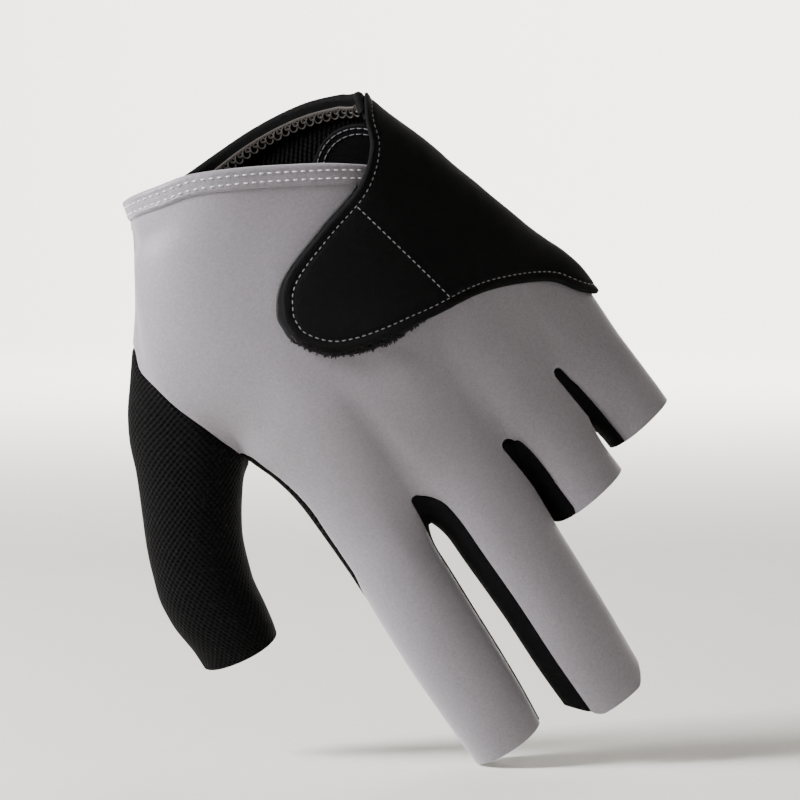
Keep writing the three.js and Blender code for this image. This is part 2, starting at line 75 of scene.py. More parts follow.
def eased(at, values):
    """A smooth curve through the values of a short table, without overshoot."""
    at, values = np.array(at, float), np.array(values, float)
    step = np.diff(at)
    rise = np.diff(values) / step
    slope = np.concatenate([[rise[0]], np.zeros(len(at) - 2), [rise[-1]]])
    same = rise[1:] * rise[:-1] > 0
    slope[1:-1][same] = (2 * rise[1:] * rise[:-1])[same] / (rise[1:] + rise[:-1])[same]
    fine = np.linspace(at[0], at[-1], 500)
    k = np.clip(np.searchsorted(at, fine) - 1, 0, len(step) - 1)
    t = (fine - at[k]) / step[k]
    drawn = (
        (1 + 2 * t) * (1 - t) ** 2 * values[k]
        + t * (1 - t) ** 2 * step[k] * slope[k]
        + t * t * (3 - 2 * t) * values[k + 1]
        + t * t * (t - 1) * step[k] * slope[k + 1]
    )
    return lambda x: np.interp(x, fine, drawn)


def fade(x, start, end):
    """0 before start, 1 after end, and smooth between them."""
    t = np.clip((x - start) / (end - start), 0, 1)
    return t * t * (3 - 2 * t)


def mix(a, b, share):
    return a + (b - a) * share


# The webs lie higher towards the little finger: start and span across, rise and where it ends.
WEB_START, WEB_SPAN, WEB_RISE, WEB_LIMIT = -0.12, 0.76, 0.2, 1.2


def web_reach(x):
    """How far down the hand the webs between the fingers lie."""
    across = np.maximum(0, x / KNUCKLE_BREADTH - WEB_START) / WEB_SPAN
    return PALM_LENGTH * (1 - WEB_RISE * np.minimum(across, WEB_LIMIT) ** 2)


# Shares of the palm's length where the arch is whole and where the curl starts, the arch's share
# at the wrist, how fast the curl grows, and how far past the little finger the arch goes on.
ARCH_WHOLE, CURL_START, WRIST_ARCH, CURL_RATE, ARCH_LIMIT = 0.7, 0.75, 0.25, 1.2, 1.3


def middle_depth(x, z):
    """How far the hand's middle surface lies to the palm's side."""
    across = np.maximum(0, (x - INDEX_ROOT) / (LITTLE_ROOT - INDEX_ROOT))
    arch = mix(WRIST_ARCH, 1, fade(-z, 0, ARCH_WHOLE * PALM_LENGTH))
    past = np.maximum(0, -z / PALM_LENGTH - CURL_START)
    curl = FINGER_CURL * (CURL_RATE * past) ** 2
    return KNUCKLE_ARCH * arch * np.minimum(across, ARCH_LIMIT) ** 2 + curl


# The hand's sections: share of the way to the webs, breadth, middle across and depth in mm,
# fullness.
HAND = np.array(
    [
        (-0.16, 62.5, 1.0, 39.0, 2.2),
        (0.0, 66.4, 0.5, 39.0, 2.2),
        (0.06, 70.8, -0.5, 38.8, 2.25),
        (0.1, 73.5, -1.5, 38.6, 2.3),
        (0.2, 81.0, -2.5, 38.1, 2.4),
        (0.33, 88.5, -2.0, 37.5, 2.5),
        (0.47, 91.9, 0.0, 36.0, 2.6),
        (0.6, 92.4, 3.2, 34.5, 2.6),
        (0.71, 91.4, 6.9, 32.4, 2.6),
        (0.8, 92.2, 9.2, 29.6, 2.6),
        (0.88, 93.2, 10.3, 26.6, 2.6),
        (0.96, 93.2, 10.7, 24.4, 2.6),
        (1.4, 93.2, 10.8, 23.0, 2.6),
    ]
)
hand_breadth, hand_middle, hand_depth, hand_fullness = (
    eased(HAND[:, 0], HAND[:, k]) for k in (1, 2, 3, 4)
)


def round_of(w, d, half_wide, half_deep, fullness):
    """Distance of a point from a rounded section, negative inside."""
    reach = (np.abs(w) / half_wide) ** fullness + (np.abs(d) / half_deep) ** fullness
    share = np.maximum(reach, 1e-9) ** (1 / fullness)
    return (1 - 1 / share) * np.hypot(w, d)


def palm_form(p):
    """Distance from the palm, its depth as a share, and the share of the way to the webs."""
    x, y, z = p
    down = -z / web_reach(x)
    across, deep = x - hand_middle(down), y - middle_depth(x, z)
    half = hand_breadth(down) / 2, hand_depth(down) / 2
    return round_of(across, deep, *half, hand_fullness(down)), deep / half[1], down


# The finger sleeves: root across in mm, length past the web, breadth at the web, halfway and at
# the open end, depth, roll, splay and slant of the open end in degrees, and how far over the
# finger the back panel's edges stand on the thumb's side and on the other, as shares of its half
# depth.
FINGERS = {
    "index": (-24.5, 59.0, (22.6, 23.0, 20.3), 21.0, 2, -1.0, 1, 0.0, 0.2),
    "middle": (3.9, 65.6, (26.2, 24.5, 22.3), 21.4, 16, -0.5, 0, 0.68, 0.2),
    "ring": (26.9, 23.0, (20.6, 21.6, 22.5), 19.5, 20, 1.5, 4, 0.7, 0.2),
    "little": (47.3, 24.2, (21.6, 20.8, 20.0), 17.6, 24, 4.0, 3, 0.5, 0.0),
}
SLEEVE_FULLNESS, SLEEVE_TAPER = 2.2, 0.35
# The form goes on past the open ends, where the cloth is cut. The middle sleeve's corners are
# rounded.
END_ALLOWANCE = 1.5
MIDDLE_CORNER, CORNER_START, CORNER_END = 7.0, 0.5, 1.25


def finger_form(name, p):
    """Distance from a finger sleeve, its turned section, and how far past its open end."""
    root, length, breadths, depth, roll, splay, slant, _, _ = FINGERS[name]
    x, y, z = p
    web = float(web_reach(root))
    past = -z - web
    taper = (*breadths[:2], mix(*breadths[1:], SLEEVE_TAPER), breadths[2])
    wide = eased((0, 0.5, 0.75, 1), taper)(past / length)
    deep = depth * mix(1, wide / breadths[0], 0.5)
    across = x - root - math.tan(math.radians(splay)) * np.maximum(0, past)
    under = y - middle_depth(np.float64(root), z)
    c, s = math.cos(math.radians(roll)), math.sin(math.radians(roll))
    w, d = across * c + under * s, under * c - across * s
    end = -web - length
    end_depth = middle_depth(np.float64(root), end)
    curl = float(middle_depth(np.float64(root), end - 4) - end_depth)
    along = np.array((math.tan(math.radians(splay)), curl / 4, -1))
    along /= np.linalg.norm(along)
    beyond = (
        across * along[0]
        + (y - end_depth) * along[1]
        + (z - end) * along[2]
        + math.tan(math.radians(slant)) * w
    )
    if name == "middle":
        beyond += MIDDLE_CORNER * fade(np.abs(2 * w / wide), CORNER_START, CORNER_END)
    tube = round_of(w, d, wide / 2, deep / 2, SLEEVE_FULLNESS)
    return np.maximum(tube, beyond - END_ALLOWANCE), w / wide * 2, d / deep * 2, beyond


# The thumb sleeve's line, from inside the heel of the hand: mm along, bowed outwards and to the
# palm's side, then its breadth and depth.
THUMB = np.array(
    [
        (-16.0, -1.5, 0.5, 31.0, 24.0),
        (0.0, 0.0, 0.6, 31.5, 25.0),
        (16.2, 2.5, 1.1, 32.5, 26.0),
        (37.0, 4.8, 2.5, 34.0, 27.0),
        (50.2, 7.3, 4.5, 32.0, 26.5),
        (60.0, 8.4, 6.1, 28.3, 26.0),
        (76.8, 8.8, 9.5, 25.8, 25.0),
        (89.8, 7.3, 12.0, 25.4, 23.9),
        (100.4, 4.0, 14.5, 24.4, 22.4),
        (110.0, 0.0, 17.1, 21.0, 20.3),
        (122.0, -5.4, 20.3, 20.0, 19.0),
    ]
)
THUMB_ROOT = (-20.0, -16.0)
THUMB_SPLAY = math.radians(28.9)
THUMB_START, THUMB_END, THUMB_FULLNESS = -8.0, 110.0, 2.15
thumb_bow, thumb_palmward, thumb_breadth, thumb_depth = (
    eased(THUMB[:, 0], THUMB[:, k]) for k in (1, 2, 3, 4)
)
# The way that the thumb's open end faces: along, out and to the palm's side.
END_TURN = np.array((0.898, -0.371, 0.237))


def thumb_form(p):
    """Distance from the thumb sleeve, its section, the mm along it, and how far past its end."""
    x, y, z = p
    c, s = math.cos(THUMB_SPLAY), math.sin(THUMB_SPLAY)
    dx, dz = x - THUMB_ROOT[0], z - THUMB_ROOT[1]
    along, out = -dx * s - dz * c, -dx * c + dz * s
    lean = (thumb_bow(along + 2) - thumb_bow(along - 2)) / 4
    w = (out - thumb_bow(along)) / np.sqrt(1 + lean**2)
    d = y - thumb_palmward(along)
    wide, deep = thumb_breadth(along), thumb_depth(along)
    end = THUMB_END, float(thumb_bow(THUMB_END)), float(thumb_palmward(THUMB_END))
    beyond = (
        (along - end[0]) * END_TURN[0] + (out - end[1]) * END_TURN[1] + (y - end[2]) * END_TURN[2]
    )
    tube = round_of(w, d, wide / 2, deep / 2, THUMB_FULLNESS)
    closed = np.maximum(tube, beyond - END_ALLOWANCE)
    return np.maximum(closed, THUMB_START - along), w / wide * 2, d / deep * 2, along, beyond


def soft_join(a, b, reach):
    """The smaller of two fields, with the corner between them rounded off."""
    near = np.maximum(reach - np.abs(a - b), 0) / reach
    return np.minimum(a, b) - near * near * reach / 4


def mound(x, z, middle, size, turn=0.0):
    """A soft round bump, 1 at its middle."""
    c, s = math.cos(math.radians(turn)), math.sin(math.radians(turn))
    dx, dz = x - middle[0], z - middle[1]
    return np.exp(-(((dx * c + dz * s) / size[0]) ** 2) - ((dz * c - dx * s) / size[1]) ** 2)


# Soft forms on the back: middle across and along, sizes across and along, turn in degrees, height.
BACK_FORMS = (
    ((-22, -72), (8, 15), 6, 0.9),
    ((5, -76), (8, 15), 0, 1.0),
    ((27, -70), (7, 13), -6, 0.9),
    ((45, -60), (7, 12), -14, 0.7),
    ((-9, -87), (3.4, 13), 4, -1.2),
    ((16, -86), (3.2, 12), -4, -1.1),
    ((36, -80), (3, 11), -10, -0.8),
    ((-41, -63), (4.5, 9), 35, -1.9),
    ((-34, -8), (9, 3.5), -5, -1.2),
    ((-26, -45), (10, 22), 20, 0.5),
)
# Heights of the cloth's slack waves and of the small pulls below the tab, in mm.
LONG_SLACK, SHORT_SLACK, TAB_PULL = 0.16, 0.1, 0.12


def relief(p):
    """How far the filled cloth stands out of the plain form: knuckles, dimples and slack."""
    x, y, z = p
    back = fade(middle_depth(x, z) - y, -4, 6)
    forms = sum(h * mound(x, z, m, size, turn) for m, size, turn, h in BACK_FORMS)
    slack = LONG_SLACK * np.sin(x / 5.3 + 0.8 * np.sin(z / 11)) * np.sin(z / 14.0 + x / 23)
    slack += SHORT_SLACK * np.sin(z / 6.1 - x / 9.7 + 1.7)
    tab_pull = mound(x, z, (8, -68), (16, 5)) * np.sin(x / 1.7 + z / 5)
    return back * (forms + TAB_PULL * tab_pull) + slack


# Where the palm passes into the fingers, as shares of the way to the webs: start, and the end on
# the thumb's side and on the little finger's. Then the roundings, in mm.
SPREAD_START, SPREAD_ENDS = 0.62, (1.06, 1.2)
FINGER_BLEND, THUMB_BLEND, THUMB_SIDE_BLEND = 1.2, 3, 9


def skin(p):
    """Distance of points from the outer face of the filled glove, negative inside it."""
    x, y, z = p = tuple(np.asarray(p, float).T)
    palm, _, down = palm_form(p)
    fingers = None
    for name in FINGERS:
        one = finger_form(name, p)[0]
        fingers = one if fingers is None else soft_join(fingers, one, FINGER_BLEND)
    spread = fade(down, SPREAD_START, mix(*SPREAD_ENDS, fade(x, 12, 37)))
    hand = mix(palm, fingers, spread)
    thumb = thumb_form(p)[0]
    facing = fade(np.abs(y - 0.35 * middle_depth(x, z)), 3, 11)
    return soft_join(hand, thumb, THUMB_BLEND + THUMB_SIDE_BLEND * facing) - relief(p)


def slope_of(field, points, step=0.05):
    """The gradient of a field at points, by small steps along each axis."""
    sides = []
    for axis in np.eye(3) * step:
        sides.append((field(points + axis) - field(points - axis)) / (2 * step))
    return np.stack(sides, 1)


# The grid that the skin is drawn on, in mm.
GRID = 0.95
GRID_LOW, GRID_HIGH = np.array((-92.0, -27.0, -182.0)), np.array((68.0, 36.0, 16.0))
ROUNDS, RELAX_SHARE, LONGEST_MOVE = 3, 0.6, 0.6


def skin_mesh():
    """Points and triangles of the skin, one point in each cell of a grid that the skin crosses."""
    counts = np.ceil((GRID_HIGH - GRID_LOW) / GRID).astype(int) + 1
    axes = [GRID_LOW[k] + GRID * np.arange(counts[k]) for k in range(3)]
    level = np.empty(counts)
    for i, x in enumerate(axes[0]):
        plane = np.stack(np.meshgrid([x], axes[1], axes[2], indexing="ij"), -1).reshape(-1, 3)
        level[i] = skin(plane).reshape(counts[1:])
    inside = level < 0
    total, crossings = np.zeros((*counts - 1, 3)), np.zeros(counts - 1)
    corner = np.stack(np.meshgrid(*[np.arange(c) for c in counts], indexing="ij"), -1)
    links = []
    for axis in range(3):
        here = [slice(None)] * 3
        there = [slice(None)] * 3
        here[axis], there[axis] = slice(None, -1), slice(1, None)
        here, there = tuple(here), tuple(there)
        crossed = np.argwhere(inside[here] != inside[there])
        a, b = level[here][tuple(crossed.T)], level[there][tuple(crossed.T)]
        at = corner[here][tuple(crossed.T)].astype(float)
        at[:, axis] += a / (a - b)
        u, v = (axis + 1) % 3, (axis + 2) % 3
        for du in (0, 1):
            for dv in (0, 1):
                cell = crossed.copy()
                cell[:, u] -= du
                cell[:, v] -= dv
                good = np.all((cell >= 0) & (cell < counts - 1), 1)
                np.add.at(total, tuple(cell[good].T), at[good])
                np.add.at(crossings, tuple(cell[good].T), 1)
        links.append((axis, crossed, a < b))
    number = -np.ones(counts - 1, int)
    held = crossings > 0
    number[held] = np.arange(held.sum())
    points = GRID_LOW + GRID * total[held] / crossings[held][:, None]
    quads = []
    for axis, crossed, outward in links:
        u, v = (axis + 1) % 3, (axis + 2) % 3
        good = (crossed[:, u] > 0) & (crossed[:, v] > 0)
        good &= (crossed[:, u] < counts[u] - 1) & (crossed[:, v] < counts[v] - 1)
        ring = []
        for du, dv in ((0, 0), (1, 0), (1, 1), (0, 1)):
            cell = crossed[good].copy()
            cell[:, u] -= du
            cell[:, v] -= dv
            ring.append(number[tuple(cell.T)])
        ring = np.stack(ring, 1)
        ring[~outward[good]] = ring[~outward[good]][:, ::-1]
        quads.append(ring)
    quads = np.concatenate(quads)
    for _ in range(ROUNDS):
        points = relaxed(settled(points), quads)
    points = settled(points)
    shorter = np.linalg.norm(points[quads[:, 0]] - points[quads[:, 2]], axis=1)
    longer = np.linalg.norm(points[quads[:, 1]] - points[quads[:, 3]], axis=1)
    first = np.where((shorter < longer)[:, None], quads[:, [0, 1, 2]], quads[:, [0, 1, 3]])
    second = np.where((shorter < longer)[:, None], quads[:, [0, 2, 3]], quads[:, [1, 2, 3]])
    return points, np.concatenate([first, second])


def settled(points):
    """Points moved onto the skin."""
    for _ in range(2):
        level, slope = skin(points), slope_of(skin, points)
        steep = np.maximum((slope**2).sum(1), 0.2)
        move = np.clip(level / steep, -LONGEST_MOVE, LONGEST_MOVE)
        points = points - slope * move[:, None]
    return points


def relaxed(points, quads):
    """Each point moved towards the middle of its neighbours."""
    total, count = np.zeros_like(points), np.zeros(len(points))
    for a, b in ((0, 1), (1, 2), (2, 3), (3, 0)):
        np.add.at(total, quads[:, a], points[quads[:, b]])
        np.add.at(total, quads[:, b], points[quads[:, a]])
        np.add.at(count, quads[:, a], 1)
        np.add.at(count, quads[:, b], 1)
    return points + RELAX_SHARE * (total / np.maximum(count, 1)[:, None] - points)


# A point of the skin this near to a seam line, as a share of its edge, moves onto the line.
SNAP_SHARE = 0.22


def sides_of(faces):
    """The three edges of each triangle."""
    return np.concatenate([faces[:, [0, 1]], faces[:, [1, 2]], faces[:, [2, 0]]])


class Cloth:
    """The skin as triangles, with marks that say on which side of each seam line they lie."""

    def __init__(self, points, faces):
        self.points, self.faces, self.marks = points, faces, {}
        self.on_line = np.zeros(len(points), bool)

    def faced(self):
        """Keeps each point's direction out of the skin."""
        slope = slope_of(skin, self.points)
        self.out = slope / np.linalg.norm(slope, axis=1)[:, None]
        return self

    def cut(self, name, field):
        """Splits the triangles where field is 0, and marks those where it is positive."""
        level = field(self.points)
        level[np.abs(level) < 1e-6] = 1e-6
        edges = np.unique(np.sort(sides_of(self.faces), 1), axis=0)
        a, b = edges.T
        crossed = level[a] * level[b] < 0
        a, b = a[crossed], b[crossed]
        t = level[a] / (level[a] - level[b])
        move = {}
        for end, other, share in ((a, b, t), (b, a, 1 - t)):
            close = (share < SNAP_SHARE) & ~self.on_line[end]
            for v, o, s in zip(end[close], other[close], share[close]):
                if v not in move or s < move[v][1]:
                    move[v] = (o, s)
        if move:
            v = np.array(list(move))
            o = np.array([m[0] for m in move.values()])
            s = np.array([m[1] for m in move.values()])
            self.points[v] += (self.points[o] - self.points[v]) * s[:, None]
            level[v] = 0
            self.on_line[v] = True
        keep = level[a] * level[b] < 0
        a, b = a[keep], b[keep]
        t = (level[a] / (level[a] - level[b]))[:, None]
        new = self.points[a] * (1 - t) + self.points[b] * t
        count = len(self.points)
        key = np.minimum(a, b) * count + np.maximum(a, b)
        order = np.argsort(key)
        sorted_key = key[order]

        def middle(i, j):
            if not len(sorted_key):
                return -np.ones(len(i), int)
            k = np.minimum(i, j) * count + np.maximum(i, j)
            at = np.clip(np.searchsorted(sorted_key, k), 0, len(sorted_key) - 1)
            return np.where(sorted_key[at] == k, count + order[at], -1)

        self.points = np.concatenate([self.points, new])
        self.on_line = np.concatenate([self.on_line, np.ones(len(new), bool)])
        f = self.faces
        on = np.stack([middle(f[:, i], f[:, (i + 1) % 3]) for i in range(3)], 1)
        parts, source, side = [], [], []

        def add(rows, triangle, sign):
            parts.append(np.stack(triangle, 1))
            source.append(rows)
            side.append(sign)

        number = (on >= 0).sum(1)
        whole = np.flatnonzero(number == 0)
        tallest = level[f[whole]]
        biggest = tallest[np.arange(len(whole)), np.abs(tallest).argmax(1)]
        add(whole, f[whole].T, biggest > 0)
        for i in range(3):
            j, k = (i + 1) % 3, (i + 2) % 3
            rows = np.flatnonzero((number == 1) & (on[:, i] >= 0))
            m, (p, q, r) = on[rows, i], f[rows][:, [i, j, k]].T
            add(rows, (p, m, r), level[p] > 0)
            add(rows, (m, q, r), level[q] > 0)
            rows = np.flatnonzero((number == 2) & (on[:, j] < 0))
            p, q, r = f[rows][:, [i, j, k]].T
            m, n = on[rows, i], on[rows, k]
            add(rows, (p, m, n), level[p] > 0)
            add(rows, (m, q, r), level[q] > 0)
            add(rows, (m, r, n), level[q] > 0)
        source, side = np.concatenate(source), np.concatenate(side)
        self.faces = np.concatenate(parts)
        self.marks = {k: v[source] for k, v in self.marks.items()}
        self.marks[name] = side


def drawn_line(points, step=1.0):
    """A smooth line through points that are drawn on the hand, as close points."""
    points = np.array(points, float)
    run = np.concatenate([[0], np.cumsum(np.linalg.norm(np.diff(points, axis=0), axis=1))])
    ends = np.vstack([2 * points[0] - points[1], points, 2 * points[-1] - points[-2]])
    fine = []
    for k in range(len(points) - 1):
        t = np.linspace(0, 1, max(2, int((run[k + 1] - run[k]) / step)), endpoint=False)[:, None]
        a, b, c, d = ends[k : k + 4]
        bent = (2 * a - 5 * b + 4 * c - d) * t**2
        fine.append(0.5 * (2 * b + (c - a) * t + bent + (3 * b - a - 3 * c + d) * t**3))
    return np.vstack([*fine, points[-1:]])


LINE_MAP_STEP = 0.5
LINE_MAP_LOW, LINE_MAP_COUNTS = np.array((-94.0, -186.0)), (340, 420)


def beside(line):
    """A field over the hand: mm from a drawn line, positive to the left of its run."""
    u, v = (LINE_MAP_LOW[k] + LINE_MAP_STEP * np.arange(LINE_MAP_COUNTS[k]) for k in (0, 1))
    p = np.stack(np.meshgrid(u, v, indexing="ij"), -1).reshape(-1, 2)
    best, side = np.full(len(p), 1e9), np.ones(len(p))
    for a, b in zip(line[:-1], line[1:]):
        run = b - a
        t = np.clip(((p - a) @ run) / (run @ run), 0, 1)
        off = p - a - t[:, None] * run
        distance = (off**2).sum(1)
        nearer = distance < best
        turn = run[0] * (p[:, 1] - a[1]) - run[1] * (p[:, 0] - a[0])
        side = np.where(nearer, np.sign(turn), side)
        best = np.where(nearer, distance, best)
    kept = (np.sqrt(best) * side).reshape(LINE_MAP_COUNTS)

    def mm_from(points):
        at = (points[:, [0, 2]] - LINE_MAP_LOW) / LINE_MAP_STEP
        cell = np.clip(np.floor(at).astype(int), 0, np.array(LINE_MAP_COUNTS) - 2)
        s, t = np.clip(at - cell, 0, 1).T
        i, j = cell.T
        low = kept[i, j] * (1 - t) + kept[i, j + 1] * t
        high = kept[i + 1, j] * (1 - t) + kept[i + 1, j + 1] * t
        return low * (1 - s) + high * s

    return mm_from


def along_cloth(field):
    """The field turned into mm measured along the cloth."""

    def measured(points):
        level, slope = field(points), slope_of(field, points)
        out = slope_of(skin, points)
        out /= np.linalg.norm(out, axis=1)[:, None]
        slope -= out * (slope * out).sum(1)[:, None]
        return level / np.maximum(np.linalg.norm(slope, axis=1), 0.02)

    return measured


# The drawn lines, from the thumb's side across the back, with x and z in mm: the hem's and the
# folded palm edge's upper edges, the seam round the thumb, and the strap's outline.
HEM_LINE = drawn_line(
    [
        (-60, 4.6), (-32.8, 2.8), (-21.4, 0.6), (-13.3, -1.3), (-1.6, -6.9), (11.6, -14.3),
        (23.5, -21.6), (35.9, -30.2), (66, -46)
    ]
)
RIM_LINE = drawn_line(
    [
        (-60, 1.6), (-33.2, 1.0), (-15.7, 0.6), (4.5, 1.0), (19.4, -0.5), (29.9, -3.7),
        (35.5, -6.4), (66, -16)
    ]
)
THUMB_LINE = drawn_line(
    [
        (-90, -25.0), (-60, -25.4), (-51.2, -28.6), (-52.4, -35.4), (-51.2, -41.2),
        (-49.2, -49.0), (-45.7, -58.7), (-42.7, -69.1), (-42.5, -84.4), (-48, -134)
    ]
)
STRAP_LINE = drawn_line(
    [
        (79.4, 8.0), (43.0, 4.4), (36.0, -5.6), (31.4, -13.3), (28.3, -20.2), (20.0, -27.0),
        (7.6, -30.9), (-7.1, -36.4), (-13.3, -43.0), (-14.2, -47.4), (-13.6, -51.6),
        (-7.4, -59.9), (6.0, -65.0), (22.6, -65.0), (36.2, -67.7), (49.1, -74.6),
        (57.6, -84.6), (79.4, -100.1)
    ]
)
HEM_WIDTH = 4.4
# How far two fingers share their seam heights between them, and where the palm's edge lies on
# them.
SHARING, PALM_SEAM = 0.7, 0.45


def finger_seams(p):
    """How deep a point lies in its finger's section, and the heights of the seams there. Between
    two fingers the values pass smoothly from one to the other."""
    rows, levels = [], []
    for name, size in FINGERS.items():
        level, w, d, _ = finger_form(name, p)
        side = fade(w, -0.3, 0.3)
        palm = [0.0 if name == outer else PALM_SEAM for outer in ("index", "little")]
        rows.append((d, mix(*size[7:], side), mix(*palm, side)))
        levels.append(level)
    levels = np.stack(levels)
    weights = np.exp(-(levels - levels.min(0)) / SHARING)
    return np.einsum("fkn,fn->kn", np.stack(rows), weights / weights.sum(0))


on_strap = beside(STRAP_LINE)
# Shares of the half depth by which the palm comes round beside the index finger's root, beside its
# sleeve, and at the strap's end.
ROOT_TURN, SLEEVE_TURN, WRIST_TURN = 0.33, 0.4, 0.5


def palm_turn(points):
    """How far the palm comes round to the back: beside the index finger, and under the strap."""
    x, _, z = points.T
    index = mix(ROOT_TURN, SLEEVE_TURN, fade(-z, 75, 95)) * fade(-x, 26, 33) * fade(-z, 66, 71)
    wrist = WRIST_TURN * fade(on_strap(points), -1.6, 0.6) * fade(z, -28, -18)
    return index * (1 - fade(-z, 109, 120)) + wrist


# The strips' tops on the back: points along the middle of each, and half its width there, in mm.
STRIP_TOPS = (
    ((-10.4, -102.8), (-9.8, -108.0), (-9.6, -114.0), 1.1, 3.2),
    ((17.3, -104.0), (18.6, -112.0), (19.8, -127.0), 1.4, 2.6),
    ((38.7, -95.8), (40.2, -107.0), (41.4, -121.0), 1.2, 1.6),
)
TOP_BLEND, OFF_TOP, TOP_SCALE = 0.05, -9.0, 10


def strip_tops(points):
    """Positive on the strips' tops, in the same shares as the seam heights."""
    flat = points[:, [0, 2]]
    best = np.full(len(flat), OFF_TOP)
    for *line, first, last in STRIP_TOPS:
        line = np.array(line)
        length = np.linalg.norm(np.diff(line, axis=0), axis=1).sum()
        done = 0.0
        for a, b in zip(line[:-1], line[1:]):
            run = b - a
            share = np.clip((flat - a) @ run / (run @ run), 0, 1)
            off = np.linalg.norm(flat - a - share[:, None] * run, axis=1)
            step = np.linalg.norm(run)
            half = mix(first, last, (done + share * step) / length)
            best = np.maximum(best, (half - off) / TOP_SCALE)
            done += step
    behind = points[:, 1] > middle_depth(points[:, 0], points[:, 2])
    return np.where(behind, OFF_TOP, best)


# The seams pass from the hand's section to the fingers' between these shares of the way to the
# webs.
SEAM_PASS = (0.8, 0.98)


def back_edge(points):
    """Negative on the back panel, positive on the strips and the palm."""
    p = tuple(points.T)
    _, deep, down = palm_form(p)
    d, seam, _ = finger_seams(p)
    edge = mix(deep, d + seam, fade(down, *SEAM_PASS)) + palm_turn(points)
    return -soft_join(-edge, -strip_tops(points), TOP_BLEND)


def palm_edge(points):
    """Positive on the palm panel."""
    p = tuple(points.T)
    _, deep, down = palm_form(p)
    d, _, palm = finger_seams(p)
    return mix(deep, d - palm, fade(down, *SEAM_PASS)) + palm_turn(points)


def past_ends(points):
    """Positive past the open end of the sleeve that a point belongs to."""
    p = tuple(points.T)
    thumb, _, _, _, beyond = thumb_form(p)
    level = thumb
    for name in FINGERS:
        one, _, _, one_beyond = finger_form(name, p)
        beyond = np.where(one < level, one_beyond, beyond)
        level = np.minimum(one, level)
    return beyond


beside_thumb, beside_hem, beside_rim = beside(THUMB_LINE), beside(HEM_LINE), beside(RIM_LINE)


def on_thumb(points):
    return -beside_thumb(points)


def under_hem(points):
    return -beside_hem(points)


def under_rim(points):
    return -beside_rim(points)


bare = Cloth(*skin_mesh())
bare.cut("past_ends", past_ends)
bare.faced()
seam_mm, thumb_mm = along_cloth(back_edge), along_cloth(on_thumb)
hem_mm, rim_mm = along_cloth(under_hem), along_cloth(under_rim)
# The cloth sinks to its seams within GROOVE_REACH, so rings of points lie there for it.
GROOVE_REACH = 1.1
RIM_FOLD = 5.6

cloth = Cloth(bare.points.copy(), bare.faces.copy())
cloth.marks = dict(bare.marks)
cloth.on_line = bare.on_line.copy()
cloth.cut("palmwards", back_edge)
cloth.cut("palm", palm_edge)
cloth.cut("thumb", on_thumb)
cloth.cut("under_hem", under_hem)
cloth.cut("under_rim", under_rim)
cloth.cut("under_band", lambda p: hem_mm(p) - HEM_WIDTH)
cloth.cut("under_fold", lambda p: rim_mm(p) - RIM_FOLD)
for share in (0.5, 1.0):
    cloth.cut("ring", lambda p: -seam_mm(p) - share * GROOVE_REACH)
    cloth.cut("ring", lambda p: -thumb_mm(p) - share * GROOVE_REACH)
cloth.faced()

on = cloth.marks
kept = ~on["past_ends"]
on_back = kept & ~on["palmwards"] & ~on["thumb"] & on["under_hem"]
on_palm = kept & on["palmwards"] & ~on["thumb"] & on["under_rim"]


def boundary_of(faces, points, out):
    """Edges with a face on one side only, and each edge point's direction out of the piece."""
    edges = sides_of(faces)
    count = len(points) + 1
    forward = edges[:, 0] * count + edges[:, 1]
    backward = edges[:, 1] * count + edges[:, 0]
    rim = edges[~np.isin(forward, backward)]
    run = points[rim[:, 1]] - points[rim[:, 0]]
    away = np.cross(run, out[rim[:, 0]] + out[rim[:, 1]])
    total = np.zeros_like(points)
    np.add.at(total, rim[:, 0], away)
    np.add.at(total, rim[:, 1], away)
    total -= out * (total * out).sum(1)[:, None]
    total /= np.maximum(np.linalg.norm(total, axis=1), 1e-9)[:, None]
    return rim, total


# Steps round a piece's edge, the gap to the next piece, and the angle from which an edge looks
# sharp.
EDGE_STEPS, SEAM_GAP, SHARP_ANGLE = 4, 0.12, math.radians(48)


def sewn_piece(name, sheet, part, outer, inner, bulge=0.0, inset=SEAM_GAP, flat=None, turn=None):
    """A closed piece of cloth from outer mm off the skin to inner mm under it. bulge rounds its
    edge off, and flat gives places on the flat cloth."""
    used, faces = np.unique(sheet.faces[part], return_inverse=True)
    faces = faces.reshape(-1, 3)
    p, n = sheet.points[used].copy(), sheet.out[used]
    outer, inner, bulge = (
        np.broadcast_to(v, len(sheet.points))[used].astype(float) for v in (outer, inner, bulge)
    )
    places = flat(p) if flat else p[:, [0, 2]]
    rim, away = boundary_of(faces, p, n)
    edge = np.unique(rim)
    p[edge] -= away[edge] * inset
    top, low = p + n * outer[:, None], p - n * inner[:, None]
    made, rings, count = [top, low], [edge], len(p)
    half = (outer + inner)[edge, None] / 2
    middle = (top[edge] + low[edge]) / 2
    for k in range(1, EDGE_STEPS):
        angle = math.pi * k / EDGE_STEPS
        ring = middle + n[edge] * half * math.cos(angle)
        ring += away[edge] * half * math.sin(angle) * bulge[edge, None]
        rings.append(count * 2 + len(edge) * (k - 1) + np.arange(len(edge)))
        made.append(ring)
    rings.append(edge + count)
    seat = np.full(count, -1)
    seat[edge] = np.arange(len(edge))
    a, b = seat[rim[:, 0]], seat[rim[:, 1]]
    walls = []
    for upper, lower in zip(rings[:-1], rings[1:]):
        walls.append(np.stack([upper[b], upper[a], lower[a]], 1))
        walls.append(np.stack([upper[b], lower[a], lower[b]], 1))
    faces = np.concatenate([faces, faces[:, ::-1] + count, *walls])
    places = np.concatenate([places, places] + [places[edge]] * (EDGE_STEPS - 1))
    return object_of(name, np.concatenate(made), faces, places, turn)


